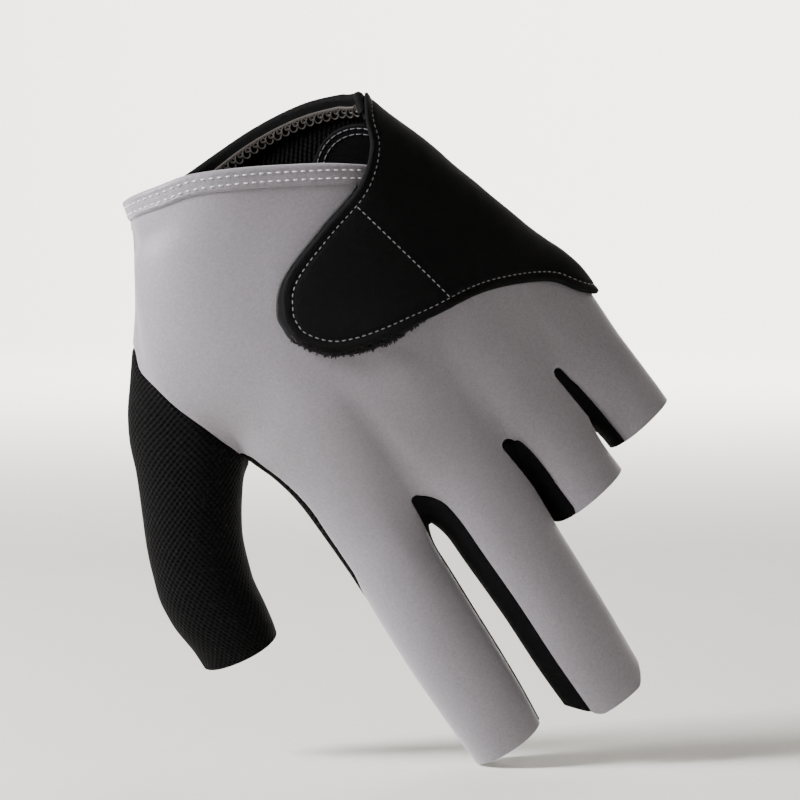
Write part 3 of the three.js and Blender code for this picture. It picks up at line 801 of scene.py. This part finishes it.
def object_of(name, points, faces, places=None, turn=None):
    """An object from points in the hand's frame, its triangles and each point's place in mm on the
    flat cloth. turn is the length after which places across start again."""
    mesh = bpy.data.meshes.new(name)
    mesh.vertices.add(len(points))
    mesh.vertices.foreach_set("co", in_place(points).astype(np.float32).ravel())
    mesh.loops.add(faces.size)
    mesh.loops.foreach_set("vertex_index", faces.astype(np.int32).ravel())
    mesh.polygons.add(len(faces))
    mesh.polygons.foreach_set("loop_start", np.arange(0, faces.size, 3, dtype=np.int32))
    mesh.update(calc_edges=True)
    if places is not None:
        corners = places[faces].copy()
        if turn:
            across = corners[:, :, 0]
            split = across.max(1) - across.min(1) > turn / 2
            across[split] += turn * (across[split] < 0)
        layer = mesh.uv_layers.new(name="UVMap")
        layer.data.foreach_set("uv", corners.astype(np.float32).ravel())
    mesh.shade_smooth()
    mesh.set_sharp_from_angle(angle=SHARP_ANGLE)
    piece = bpy.data.objects.new(name, mesh)
    bpy.context.scene.collection.objects.link(piece)
    return piece


def linear(colour):
    """An sRGB hex colour as Blender's linear one."""
    parts = [int(colour[i : i + 2], 16) / 255 for i in (1, 3, 5)]
    return (*[c / 12.92 if c < 0.04045 else ((c + 0.055) / 1.055) ** 2.4 for c in parts], 1)


def put(material, kind, settings=(), links=(), **values):
    """Adds a node to a material, with its settings, its sockets' values and its links."""
    node = material.node_tree.nodes.new(kind)
    for key, value in dict(settings).items():
        setattr(node, key, value)
    for key, value in values.items():
        node.inputs[key].default_value = value
    for socket, source in dict(links).items():
        material.node_tree.links.new(source, node.inputs[socket])
    return node


def finish(name, roughness, colour="#808080", **constants):
    """A new material and its shader, with the values that are the same all over it."""
    material = bpy.data.materials.new(name)
    material.use_nodes = True
    shader = material.node_tree.nodes["Principled BSDF"]
    shader.inputs["Roughness"].default_value = roughness
    shader.inputs["Base Color"].default_value = linear(colour)
    for key, value in constants.items():
        shader.inputs[key.replace("_", " ")].default_value = value
    return material, shader


CLOTH, GROOVE_DEPTH, GROOVE_WIDTH = 1.2, 0.4, 0.7


def grooved(sheet):
    """How far the cloth's outer face sinks to its seams, negative."""
    seam = np.exp(-((seam_mm(sheet.points) / GROOVE_WIDTH) ** 2))
    thumb = np.exp(-((thumb_mm(sheet.points) / GROOVE_WIDTH) ** 2))
    off_thumb = thumb_form(tuple(sheet.points.T))[0] > 1
    return -GROOVE_DEPTH * np.maximum(seam * off_thumb, thumb)


# Warp knit of nylon and elastane, brushed by wear: the eye sees a smooth mid grey with a faint
# grain of wales along the fingers, a soft sheen, and a light bloom where the cloth turns away. The
# wales are 0.35 mm apart on the real cloth and are drawn 0.8 mm apart, so that they show.
WALE, COURSE = 0.8, 0.6
grey_knit, surface = finish("nylon_elastane_knit", 0.52, "#9f9da4")
surface.inputs["Sheen Weight"].default_value = 0.3
surface.inputs["Sheen Roughness"].default_value = 0.45


def woven(material, places, pitches, wave):
    """Waves across and along the cloth, one times the other, from places in mm on it."""
    parts = put(material, "ShaderNodeSeparateXYZ", links={0: places.outputs[0]})
    waves = {}
    for socket, pitch in enumerate(pitches):
        links = {0: parts.outputs[socket]}
        turn = put(material, "ShaderNodeMath", {"operation": "MULTIPLY"}, links)
        turn.inputs[1].default_value = 2 * math.pi / pitch
        links = {0: turn.outputs[0]}
        waves[socket] = put(material, "ShaderNodeMath", {"operation": wave}, links).outputs[0]
    return put(material, "ShaderNodeMath", {"operation": "MULTIPLY"}, waves).outputs[0]


def raised(material, shader, height, strength, depth):
    """Lets a height shape the surface, over a depth in metres."""
    links = {"Height": height}
    bump = put(material, "ShaderNodeBump", links=links, Strength=strength, Distance=depth)
    material.node_tree.links.new(bump.outputs[0], shader.inputs["Normal"])


def knitted(material, shader, pitches, strength, depth):
    """Wales and courses as a fine relief."""
    places = put(material, "ShaderNodeUVMap", {"uv_map": "UVMap"})
    raised(material, shader, woven(material, places, pitches, "SINE"), strength, depth)


knitted(grey_knit, surface, (WALE, COURSE), 0.35, 0.00006)


def mottled(material, shader, scale, dark, pale):
    """Uneven dye or yarn: fine noise between two close tones."""
    places = put(material, "ShaderNodeTexCoord")
    links = {"Vector": places.outputs["Object"]}
    cloud = put(
        material, "ShaderNodeTexNoise", links=links, Scale=scale, Detail=8.0, Roughness=0.75
    )
    tone = put(material, "ShaderNodeValToRGB", links={"Fac": cloud.outputs["Fac"]})
    low, high = tone.color_ramp.elements
    low.position, high.position = 0.3, 0.7
    low.color, high.color = linear(dark), linear(pale)
    material.node_tree.links.new(tone.outputs[0], shader.inputs["Base Color"])


mottled(grey_knit, surface, 1500.0, "#6b676d", "#827e86")

sinking = grooved(cloth)
back_panel = sewn_piece("back_panel_cloth", cloth, on_back & on["under_band"], sinking, CLOTH)
back_panel.data.materials.append(grey_knit)
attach(back_panel, "root")
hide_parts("back_panel")


# Wrist hem: the back panel's own knit turned in and pressed flat, held by two rows of pale
# lockstitch. It stands a little proud and flares at the thumb's side.
HEM_PROUD, HEM_PROUD_FADE = 0.7, (16, 26)
HEM_ROWS = (1.3, 3.4)
HEM_STITCH, HEM_STITCH_GAP, HEM_THREAD = 1.2, 0.95, 0.38
# A row of stitches pulls the cloth in by this much, over this width, in mm.
PULL_DEPTH, PULL_WIDTH = 0.22, 0.45
in_from_hem = hem_mm(cloth.points)
hem_rise = HEM_PROUD * (1 - fade(cloth.points[:, 0], *HEM_PROUD_FADE))
pulled = sum(np.exp(-(((in_from_hem - row) / PULL_WIDTH) ** 2)) for row in HEM_ROWS)
hem_face = hem_rise - PULL_DEPTH * pulled
hem_part = on_back & ~on["under_band"]
hem = sewn_piece("cuff_hem_cloth", cloth, hem_part, hem_face, CLOTH, 1.0, 0.3)
hem.data.materials.append(grey_knit)
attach(hem, "root")
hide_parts("cuff_hem")


def traced(sheet, part, level, outer):
    """The lines on a piece's face where level is 0, as ordered points and directions out."""
    faces, above = sheet.faces[part], level > 0
    mixed = faces[above[faces].any(1) & ~above[faces].all(1)]
    beyond = {}
    for a, b, c in mixed:
        ends = [tuple(sorted(e)) for e in ((a, b), (b, c), (c, a)) if above[e[0]] != above[e[1]]]
        beyond.setdefault(ends[0], []).append(ends[1])
        beyond.setdefault(ends[1], []).append(ends[0])
    left = dict.fromkeys(sorted(beyond, key=lambda k: len(beyond[k])))
    lines = []
    while left:
        run = [next(iter(left))]
        del left[run[0]]
        while True:
            onward = [k for k in beyond[run[-1]] if k in left]
            if not onward:
                break
            del left[onward[0]]
            run.append(onward[0])
        a, b = np.array(run).T
        t = (level[a] / (level[a] - level[b]))[:, None]
        n = sheet.out[a] * (1 - t) + sheet.out[b] * t
        p = sheet.points[a] * (1 - t) + sheet.points[b] * t
        rise = (outer[a] * (1 - t[:, 0]) + outer[b] * t[:, 0])[:, None]
        closed = len(run) > 20 and np.linalg.norm(p[0] - p[-1]) < 2
        if closed:
            p, n, rise = (np.vstack([v, v[:1]]) for v in (p, n, rise))
        if np.linalg.norm(np.diff(p, axis=0), axis=1).sum() > 5:
            lines.append((p + n * rise, n))
    return lines


def paced(line, at):
    """Places and directions at mm along a traced line, with its small jumps smoothed."""
    p, n = line
    run = np.concatenate([[0], np.cumsum(np.linalg.norm(np.diff(p, axis=0), axis=1))])
    even = np.linspace(0, run[-1], max(8, int(run[-1] / 0.5)))
    both = np.stack([np.interp(even, run, v) for v in np.hstack([p, n]).T], 1)
    for _ in range(4):
        both[1:-1] = (both[:-2] + 2 * both[1:-1] + both[2:]) / 4
    found = np.stack([np.interp(at, even, v) for v in both.T], -1)
    return found[..., :3], found[..., 3:]


def line_length(line):
    """The mm along a traced line."""
    return np.linalg.norm(np.diff(line[0], axis=0), axis=1).sum()


def threads(name, centres, up, radius, material, sides=6):
    """Thread as closed tubes. centres and up hold one row of points for each piece of thread."""
    along = np.gradient(centres, axis=1)
    along /= np.linalg.norm(along, axis=2)[..., None]
    across = np.cross(along, up)
    across /= np.maximum(np.linalg.norm(across, axis=2), 1e-9)[..., None]
    over = np.cross(across, along)
    count, steps = centres.shape[:2]
    turn = 2 * math.pi * np.arange(sides) / sides
    size = np.broadcast_to(radius, (steps,))[None, :, None, None]
    ring = (
        centres[:, :, None]
        + size * np.cos(turn)[:, None] * across[:, :, None]
        + size * np.sin(turn)[:, None] * over[:, :, None]
    )
    at = np.arange(count * steps * sides).reshape(count, steps, sides)
    beyond = np.roll(at, -1, axis=2)
    a, b, c, d = at[:, :-1], beyond[:, :-1], beyond[:, 1:], at[:, 1:]
    faces = [np.stack([a, c, b], -1).reshape(-1, 3), np.stack([a, d, c], -1).reshape(-1, 3)]
    for k in range(1, sides - 1):
        faces.append(np.stack([at[:, 0, 0], at[:, 0, k], at[:, 0, k + 1]], 1))
        faces.append(np.stack([at[:, -1, 0], at[:, -1, k + 1], at[:, -1, k]], 1))
    thread = object_of(name, ring.reshape(-1, 3), np.concatenate(faces))
    thread.data.materials.append(material)
    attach(thread, "root")


def stitched(name, lines, stitch, gap, thickness, material, slot, side=1):
    """A row of lockstitches along traced lines, each one bowed up out of the cloth, or down
    where side is -1, and thin at its ends."""
    share = np.linspace(0, 1, 7)
    centres, ups = [], []
    for line in lines:
        count = int(line_length(line) / (stitch + gap))
        if not count:
            continue
        pitch = line_length(line) / count
        at = pitch * np.arange(count)[:, None] + gap / 2 + stitch * share
        p, n = paced(line, at)
        bow = thickness * (0.75 * np.sin(math.pi * share) ** 0.6 - 0.35)
        centres.append(p + side * n * bow[:, None])
        ups.append(side * n)
    radius = thickness / 2 * np.array((0.5, 0.9, 1, 1, 1, 0.9, 0.5))
    threads(name, np.concatenate(centres), np.concatenate(ups), radius, material)


# Polyester sewing thread, spun and a little shiny: pale dashes that catch the light.
pale_thread, surface = finish("pale_polyester_thread", 0.45, "#cfcdd1")
places = {"Vector": put(pale_thread, "ShaderNodeTexCoord").outputs["Object"]}
bands = {"bands_direction": "DIAGONAL"}
twist = put(pale_thread, "ShaderNodeTexWave", bands, places, Scale=900.0)
raised(pale_thread, surface, twist.outputs["Fac"], 0.4, 0.0001)
hem_lines = []
for row in HEM_ROWS:
    hem_lines += traced(cloth, hem_part, in_from_hem - row, hem_face)
stitched(
    "hem_stitches", hem_lines, HEM_STITCH, HEM_STITCH_GAP, HEM_THREAD, pale_thread, "grey_hem"
)

# Palm panel: black polyester mesh over the whole palm side, from the wrist to the finger ends. It
# is sewn to the back panel along the hand's edges and to the strips along the fingers.
# Spacer mesh: small raised cells in staggered rows with holes between them, drawn 1.5 mm apart
# across and 1.9 mm along, which the eye sees as a fine diagonal grain. The holes are painted darker
# than the cells, as painted shade in them. The real pitch is a guess. A whole number of cells goes
# round the thumb.
THUMB_TURN, CELLS_ROUND_THUMB = 80.0, 53
MESH_ACROSS, MESH_ALONG = THUMB_TURN / CELLS_ROUND_THUMB, 1.9
black_mesh, surface = finish("polyester_spacer_mesh", 0.8, "#060607", Specular_IOR_Level=0.07)


def meshed(material, shader):
    """Raised cells, and holes painted darker as the shade in them, with rows that wander a little
    as cloth does.
    """
    flat = put(material, "ShaderNodeUVMap", {"uv_map": "UVMap"}).outputs[0]
    drift = put(material, "ShaderNodeTexNoise", links={"Vector": flat}, Scale=0.12, Detail=1.0)
    links = {0: drift.outputs["Color"], 2: flat}
    places = put(material, "ShaderNodeVectorMath", {"operation": "MULTIPLY_ADD"}, links)
    places.inputs[1].default_value = (0.9, 0.9, 0.0)
    cells = woven(material, places, (MESH_ACROSS, MESH_ALONG), "COSINE")
    tone = put(material, "ShaderNodeValToRGB", links={"Fac": cells})
    high, low = tone.color_ramp.elements
    high.position, low.position = 0.0, 0.55
    # The holes' near black is painted shade.
    high.color, low.color = linear("#070708"), linear("#010101")
    material.node_tree.links.new(tone.outputs[0], shader.inputs["Base Color"])
    sunk = put(material, "ShaderNodeMath", {"operation": "MULTIPLY"}, {0: cells})
    sunk.inputs[1].default_value = -1.0
    raised(material, shader, sunk.outputs[0], 0.8, 0.00025)


meshed(black_mesh, surface)
palm_part = on_palm & on["palm"] & on["under_fold"]
palm_panel = sewn_piece("palm_panel_cloth", cloth, palm_part, sinking, CLOTH)
palm_panel.data.materials.append(black_mesh)
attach(palm_panel, "root")
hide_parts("palm_panel")

# Thumb sleeve: the same mesh in one piece round the thumb, joined to the back panel by a slanting
# seam over the ball of the thumb. It is cut off square at the tip and left open.
def round_thumb(points):
    """Places on the thumb's flat cloth: mm round it from its back, and mm along it."""
    _, w, d, along, _ = thumb_form(tuple(points.T))
    return np.stack([np.arctan2(w, -d) / (2 * math.pi) * THUMB_TURN, along], 1)


thumb_part = kept & on["thumb"]
thumb_sleeve = sewn_piece(
    "thumb_sleeve_cloth", cloth, thumb_part, sinking, CLOTH, flat=round_thumb, turn=THUMB_TURN
)
thumb_sleeve.data.materials.append(black_mesh)
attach(thumb_sleeve, "root")
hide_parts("thumb_sleeve")

# Strips between the fingers: black stretch knit, one strip from the back of a finger through the
# web to the back of the next. Each is sewn to the back panel above and to the palm's mesh below,
# and its top shows from the back as a dark wedge. Nylon and elastane knit, dyed black: dull and
# without grain from afar, it reads as a plain dark gap.
black_knit, surface = finish("black_stretch_knit", 0.8, "#060607", Specular_IOR_Level=0.08)
knitted(black_knit, surface, (1.0, 0.8), 0.5, 0.0001)
middle_x = (cloth.points[cloth.faces].mean(1))[:, 0]
# Where each strip's web lies across the hand, in mm.
STRIPS = {
    "fourchette_index_middle": (-40, 10),
    "fourchette_middle_ring": (10, 30),
    "fourchette_ring_little": (30, 70),
}
for name, (first, last) in STRIPS.items():
    part = on_palm & ~on["palm"] & (middle_x > first) & (middle_x < last)
    strip = sewn_piece(name + "_cloth", cloth, part, sinking, CLOTH)
    strip.data.materials.append(black_knit)
    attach(strip, "root")
    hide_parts(name)

# Wrist strap: black suede cloth over thin foam, two layers sewn together all round, with a cross
# seam before the rounded tab. It is sewn in at the little finger's side, comes over the back of
# the hand and holds by the hook pad under its tab.
STRAP_THICKNESS, STRAP_TOP_THICKNESS, TOP_THINNING = 1.8, 1.0, (-26, -9)
# How far round the little finger's side the strap goes, in mm past the hand's middle.
STRAP_WRAP = 7.0


def before_wrap(points):
    """Positive where the strap shows, before it ends on the palm's side."""
    x, y, z = points.T
    return middle_depth(x, z) + STRAP_WRAP - y


edge_mm, wrap_mm = along_cloth(on_strap), along_cloth(before_wrap)


SIDE_TUCK, LOWER_TUCK = 1.3, 1.2


def tab_tuck(points):
    """How far the tab's own edge stands back from the edge of the pad below it, in mm."""
    x, _, z = points.T
    tuck = SIDE_TUCK + LOWER_TUCK * fade(-z, 50, 60)
    return tuck * fade(-z, 34, 46) * (1 - fade(x, 6, 24))


def strap_mm(points):
    """The mm in from the strap's edge, along the cloth."""
    return np.minimum(edge_mm(points) - tab_tuck(points), wrap_mm(points))


def part_of(sheet, part):
    """Some triangles of a sheet as a sheet of their own, so that cuts in it are quick."""
    used, faces = np.unique(sheet.faces[part], return_inverse=True)
    return Cloth(sheet.points[used].copy(), faces.reshape(-1, 3))


def near_strap():
    """The part of the skin that lies under the strap and close round it."""
    corners = bare.points[bare.faces].mean(1)
    return part_of(bare, (on_strap(corners) > -6) & (before_wrap(corners) > -4))


STRAP_SEAM = 2.1
strap_sheet = near_strap()
strap_sheet.cut("inside", strap_mm)
for inset in (0.6, 1.5, STRAP_SEAM, 2.7):
    strap_sheet.cut("ring", lambda p: strap_mm(p) - inset)
strap_sheet.faced()
strap_part = strap_sheet.marks["inside"]
# The strap lies on the back panel and climbs over the pad, which ends at PAD_EDGE across the hand.
PAD_EDGE, PAD_CLIMB, STRAP_LIFT, PAD_LIFT = 20.8, 14, 0.35, 1.55
CHANNEL_DEPTH = 0.3
lift = STRAP_LIFT + PAD_LIFT * fade(PAD_EDGE + PAD_CLIMB - strap_sheet.points[:, 0], 0, PAD_CLIMB)
in_from_edge = strap_mm(strap_sheet.points)
channel = CHANNEL_DEPTH * np.exp(-(((in_from_edge - STRAP_SEAM) / PULL_WIDTH) ** 2))
at_top = fade(strap_sheet.points[:, 2], *TOP_THINNING)
strap_face = lift + mix(STRAP_THICKNESS, STRAP_TOP_THICKNESS, at_top) - channel
strap = sewn_piece("wrist_strap_cloth", strap_sheet, strap_part, strap_face, -lift, 0.8, 0.4)
# Brushed microfibre suede: short nap, deep black and almost without shine, with a faint bloom of
# fibres.
suede, surface = finish("black_suede", 0.9, "#070708", Specular_IOR_Level=0.12)
places = {"Vector": put(suede, "ShaderNodeTexCoord").outputs["Object"]}
nap = put(suede, "ShaderNodeTexNoise", links=places, Scale=1500.0, Detail=4.0)
raised(suede, surface, nap.outputs["Fac"], 0.6, 0.0002)
strap.data.materials.append(suede)
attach(strap, "root")
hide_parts("wrist_strap")

STRAP_STITCH, STRAP_STITCH_GAP, STRAP_THREAD = 1.1, 0.65, 0.3
strap_lines = traced(strap_sheet, strap_part, in_from_edge - STRAP_SEAM, strap_face)
# The ends of the cross seam before the tab, x and z in mm.
CROSS_TOP, CROSS_LOW = np.array((17.1, -30.2)), np.array((24.2, -63.1))


def past_cross(points):
    """The mm past the cross seam, to one side of it."""
    run = CROSS_LOW - CROSS_TOP
    off = points[:, [0, 2]] - CROSS_TOP
    return (run[0] * off[:, 1] - run[1] * off[:, 0]) / np.hypot(*run)


within = strap_part & (in_from_edge[strap_sheet.faces].mean(1) > STRAP_SEAM)
strap_lines += traced(strap_sheet, within, past_cross(strap_sheet.points), strap_face)
# Grey polyester thread: thin even dashes, a little lighter and darker where the ply turns.
grey_thread, surface = finish("grey_polyester_thread", 0.5, "#737376")
mottled(grey_thread, surface, 2200.0, "#666669", "#808083")
strap_sizes = STRAP_STITCH, STRAP_STITCH_GAP, STRAP_THREAD
stitched("strap_stitches", strap_lines, *strap_sizes, grey_thread, "black_suede")

# Hook pad: the nylon fastener under the tab, sewn to the back panel with the hooks facing the tab.
# A narrow band of it shows beside the tab's edge, and below the tab its hooks stick out as fuzz.
PAD_SHIFT = (0.4, 0, -0.8)
PAD_TOP, PAD_FOOT = 1.55, 0.35
pad_sheet = near_strap()


def on_pad(points):
    """Positive on the pad, which has the tab's own outline, a little shifted."""
    shifted = points + np.array(PAD_SHIFT)
    return np.minimum(on_strap(shifted), PAD_EDGE - points[:, 0])


pad_sheet.cut("inside", on_pad)
pad_sheet.faced()
pad_part = pad_sheet.marks["inside"]
hook_pad = sewn_piece("hook_pad_base", pad_sheet, pad_part, PAD_TOP, -PAD_FOOT, 0.5, 0.2)
# Woven nylon hook tape: black, a little shinier than the cloth round it, so its edge shows as a
# band.
hook_nylon, surface = finish("hook_nylon", 0.6, "#0a0a0b", Specular_IOR_Level=0.3)
mottled(hook_nylon, surface, 900.0, "#070708", "#111113")
hook_pad.data.materials.append(hook_nylon)
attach(hook_pad, "root")
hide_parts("hook_pad")

# The hooks that stick out below the tab: their number, feet, heights and breadths in mm.
HOOKS, HOOK_FOOT, HOOK_HEIGHTS, HOOK_BREADTHS = 620, 1.4, (0.3, 0.6), (0.25, 0.45)
HOOK_STEPS, HOOK_RADIUS, HOOK_SIDES = 6, 0.2, 4
chance = np.random.default_rng(7)
pad_corners = pad_sheet.faces[pad_part]
pad_middles = pad_sheet.points[pad_corners].mean(1)
showing = (on_strap(pad_middles) - tab_tuck(pad_middles) < 0.3) & (pad_middles[:, 2] < -50)
rows = chance.choice(np.flatnonzero(showing), HOOKS)
weights = chance.dirichlet((1, 1, 1), HOOKS)[:, :, None]
foot = (pad_sheet.points[pad_corners[rows]] * weights).sum(1)
up = (pad_sheet.out[pad_corners[rows]] * weights).sum(1)
angle = chance.uniform(0, 2 * math.pi, HOOKS)
sideways = np.cross(up, (0, 1, 0.3))
sideways /= np.linalg.norm(sideways, axis=1)[:, None]
forward = np.cross(up, sideways)
reach = np.cos(angle)[:, None] * sideways + np.sin(angle)[:, None] * forward
share = np.linspace(0, 1, HOOK_STEPS)[None, :, None]
tall = chance.uniform(*HOOK_HEIGHTS, (HOOKS, 1, 1))
broad = chance.uniform(*HOOK_BREADTHS, (HOOKS, 1, 1))
loops = foot[:, None] + up[:, None] * (HOOK_FOOT + tall * np.sin(math.pi * share))
loops = loops + reach[:, None] * broad * (1 - np.cos(math.pi * share))
facing = np.repeat(forward[:, None], HOOK_STEPS, 1)
threads("hook_pad_pile", loops, facing, HOOK_RADIUS, hook_nylon, HOOK_SIDES)

# Folded edge of the palm at the wrist: a band of the same black stretch knit, folded over the
# mesh's upper edge and held inside by a chain of overlock stitches, which shows through the wrist
# opening.
FOLD_PROUD, FOLD_DEPTH = 0.15, 2.3
rim_part = on_palm & ~on["under_fold"]
rim_fold = sewn_piece("palm_rim_fold_cloth", cloth, rim_part, FOLD_PROUD, FOLD_DEPTH, 1.0, 0.6)
rim_fold.data.materials.append(black_knit)
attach(rim_fold, "root")
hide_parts("palm_rim_fold")

# Taupe polyester overlock thread: a soft brownish grey, the one warm tone inside the glove.
chain_thread, surface = finish("taupe_polyester_thread", 0.6, "#332e2b")
mottled(chain_thread, surface, 2200.0, "#292522", "#3e3835")
# The chain's width and pitch, its thread, how far it lies in from the edge and how far its loops
# lean, in mm and as shares of the pitch, and the turn by which the inner loops run ahead.
CHAIN_WIDTH, CHAIN_PITCH, CHAIN_THREAD, CHAIN_IN = 2.9, 2.4, 0.4, 4.0
LOOP_LEAN, INNER_LEAN, INNER_AHEAD, CHAIN_STEPS = 0.62, 0.5, 2.4, 14
inner_face = np.full(len(cloth.points), -FOLD_DEPTH)
chain_lines = traced(cloth, rim_part, rim_mm(cloth.points) - CHAIN_IN, inner_face)
for number, line in enumerate(chain_lines):
    if line_length(line) < 30:
        continue
    at = np.arange(1, line_length(line) - 1, CHAIN_PITCH / CHAIN_STEPS)
    p, n = paced(line, at)
    run = np.gradient(p, axis=0)
    run /= np.linalg.norm(run, axis=1)[:, None]
    side = np.cross(run, n)
    side *= np.sign(side[:, 2].mean())
    turn = 2 * math.pi * at / CHAIN_PITCH
    loop = p + side * (CHAIN_WIDTH / 2 * np.cos(turn))[:, None]
    loop += run * (LOOP_LEAN * CHAIN_PITCH * np.sin(turn))[:, None]
    loop -= n * (0.25 + 0.18 * np.sin(turn))[:, None]
    turn = turn + INNER_AHEAD
    inner = p + side * (CHAIN_WIDTH / 4 * np.cos(turn) + 0.2 * CHAIN_WIDTH)[:, None]
    inner += run * (INNER_LEAN * CHAIN_PITCH * np.sin(turn))[:, None] - n * 0.32
    row = (p + side * CHAIN_WIDTH / 2 - n * 0.2)[::5]
    for kind, places, up, radius in (
        ("chain", loop, n, CHAIN_THREAD / 2),
        ("inner", inner, n, CHAIN_THREAD / 2),
        ("edge", row, n[::5], CHAIN_THREAD * 0.6),
    ):
        name = f"overlock_{kind}_{number}"
        threads(name, places[None], -up[None], radius, chain_thread)

# Heel patch: a second layer of black stretch knit inside the heel of the palm, round at both ends
# and sewn to the mesh with two rows of stitches, painted dark as shade, of which the upper arc
# shows.
PATCH_MIDDLE, PATCH_TOP, PATCH_WIDTH, PATCH_LENGTH = 24.5, -10.6, 28.0, 41.0
# The patch's two faces, in mm under the skin, and its rows of stitches, in mm in from its edge.
PATCH_OUTER, PATCH_INNER, PATCH_ROWS = 1.55, 2.55, (0.9, 2.5)
PATCH_STITCH, PATCH_STITCH_GAP, PATCH_THREAD = 1.7, 0.25, 0.3


def on_patch(points):
    """The mm in from the patch's edge."""
    x, _, z = points.T
    half = PATCH_WIDTH / 2
    over = np.clip(z, PATCH_TOP - PATCH_LENGTH + half, PATCH_TOP - half)
    return half - np.hypot(x - PATCH_MIDDLE, z - over)


patch_sheet = part_of(cloth, on_palm & ~rim_part)
patch_sheet.cut("inside", on_patch)
patch_sheet.faced()
patch_part = patch_sheet.marks["inside"]
heel_patch = sewn_piece(
    "heel_patch_cloth", patch_sheet, patch_part, -PATCH_OUTER, PATCH_INNER, 0.5, 0.2
)
heel_patch.data.materials.append(black_knit)
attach(heel_patch, "root")
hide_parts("heel_patch")

patch_lines = []
inner_face = np.full(len(patch_sheet.points), -PATCH_INNER)
for row in PATCH_ROWS:
    level = on_patch(patch_sheet.points) - row
    patch_lines += traced(patch_sheet, patch_part, level, inner_face)
# Grey polyester thread: its tone is painted darker than the strap's thread, as painted shade for
# the inside of the glove, so the arc shows only faintly.
shade_darkened_thread, surface = finish("shade_darkened_polyester_thread", 0.6, "#4e4e52")
mottled(shade_darkened_thread, surface, 2200.0, "#404044", "#5c5c60")
patch_sizes = PATCH_STITCH, PATCH_STITCH_GAP, PATCH_THREAD
stitched("heel_patch_stitches", patch_lines, *patch_sizes, shade_darkened_thread, "black_binding", -1)

# Camera: level with the hand's middle and a little above it, far off with a long lens, as the
# photo looks. One pixel of the 800 is 0.26 mm at the glove.
TARGET, DISTANCE, RISE = (42.9, 0.0, -66.2), 900.0, math.radians(3.5)
FRAME_WIDTH, SENSOR_WIDTH = 0.26 * 800, 36
camera_data = bpy.data.cameras.new("camera")
camera_data.sensor_width = SENSOR_WIDTH
camera_data.lens = SENSOR_WIDTH * DISTANCE / FRAME_WIDTH
camera_data.clip_start, camera_data.clip_end = 0.05, 20
camera = bpy.data.objects.new("camera", camera_data)
bpy.context.scene.collection.objects.link(camera)
camera.location = (
    TARGET[0] * MM,
    (TARGET[1] - DISTANCE * math.cos(RISE)) * MM,
    (TARGET[2] + DISTANCE * math.sin(RISE)) * MM,
)
camera.rotation_euler = (math.pi / 2 - RISE, 0, 0)
bpy.context.scene.camera = camera

# Floor: a plain pale studio sheet that curves up into a wall all round, so that no view has an
# edge. It lies just below the lowest sleeve end. Sizes are in metres.
FLOOR_LEVEL = -0.1628
FLOOR_RADIUS, COVE_RADIUS, WALL_TOP, SIDES, COVE_STEP = 2.4, 0.8, 2.6, 96, 6
profile = [(0.0, 0.0), (0.6, 0.0), (1.5, 0.0), (FLOOR_RADIUS, 0.0)]
for a in np.radians(np.arange(COVE_STEP, 91, COVE_STEP)):
    profile.append((FLOOR_RADIUS + COVE_RADIUS * math.sin(a), COVE_RADIUS * (1 - math.cos(a))))
profile.append((FLOOR_RADIUS + COVE_RADIUS, WALL_TOP))
bearings = np.arange(SIDES) * 2 * math.pi / SIDES
floor_points = [
    (r * math.sin(b), r * math.cos(b), FLOOR_LEVEL + z) for r, z in profile for b in bearings
]
floor_faces = []
for low in range(0, SIDES * (len(profile) - 1), SIDES):
    for k in range(SIDES):
        after = (k + 1) % SIDES
        floor_faces.append((low + k, low + SIDES + k, low + SIDES + after, low + after))
floor_mesh = bpy.data.meshes.new("floor")
floor_mesh.from_pydata(floor_points, [], floor_faces)
floor_mesh.shade_smooth()
floor = bpy.data.objects.new("floor", floor_mesh)
bpy.context.scene.collection.objects.link(floor)
# Matt paper: pale and warm, without shine, and barely clouded.
matt_paper, surface = finish("matt_paper", 0.95, "#dedbd6")
mottled(matt_paper, surface, 260.0, "#dcd9d4", "#e2dfda")
floor_mesh.materials.append(matt_paper)
floor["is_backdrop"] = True


# Light: one broad soft lamp from the left and the front, one that brightens the wall behind the
# glove and throws its soft shadow forward, a faint one from behind, and a trace of light from all
# round.
def soft_light(name, place, aim, size, power):
    """A rectangular lamp at a place in metres, turned to its aim, with its power in watts."""
    light = bpy.data.lights.new(name, "AREA")
    light.shape = "RECTANGLE"
    light.size, light.size_y = size
    light.energy = power
    lamp = bpy.data.objects.new(name, light)
    bpy.context.scene.collection.objects.link(lamp)
    lamp.location = place
    lamp.rotation_euler = (Vector(aim) - Vector(place)).to_track_quat("-Z", "Y").to_euler()


GLOVE_MIDDLE, WALL_FOOT = (0.042, 0, -0.07), (0.15, 3.2, -0.02)
soft_light("key", (-1.1, -0.35, 0.6), GLOVE_MIDDLE, (0.4, 0.7), 66)
soft_light("wall", (0.3, 1.6, 1.2), WALL_FOOT, (1.4, 0.4), 165)
soft_light("behind", (0.4, 1.4, 0.9), GLOVE_MIDDLE, (1.0, 1.0), 9)
world = bpy.data.worlds.new("studio")
bpy.context.scene.world = world
world.use_nodes = True
all_round = world.node_tree.nodes["Background"].inputs
all_round["Color"].default_value = linear("#f2f1ee")
all_round["Strength"].default_value = 0.006

low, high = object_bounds()
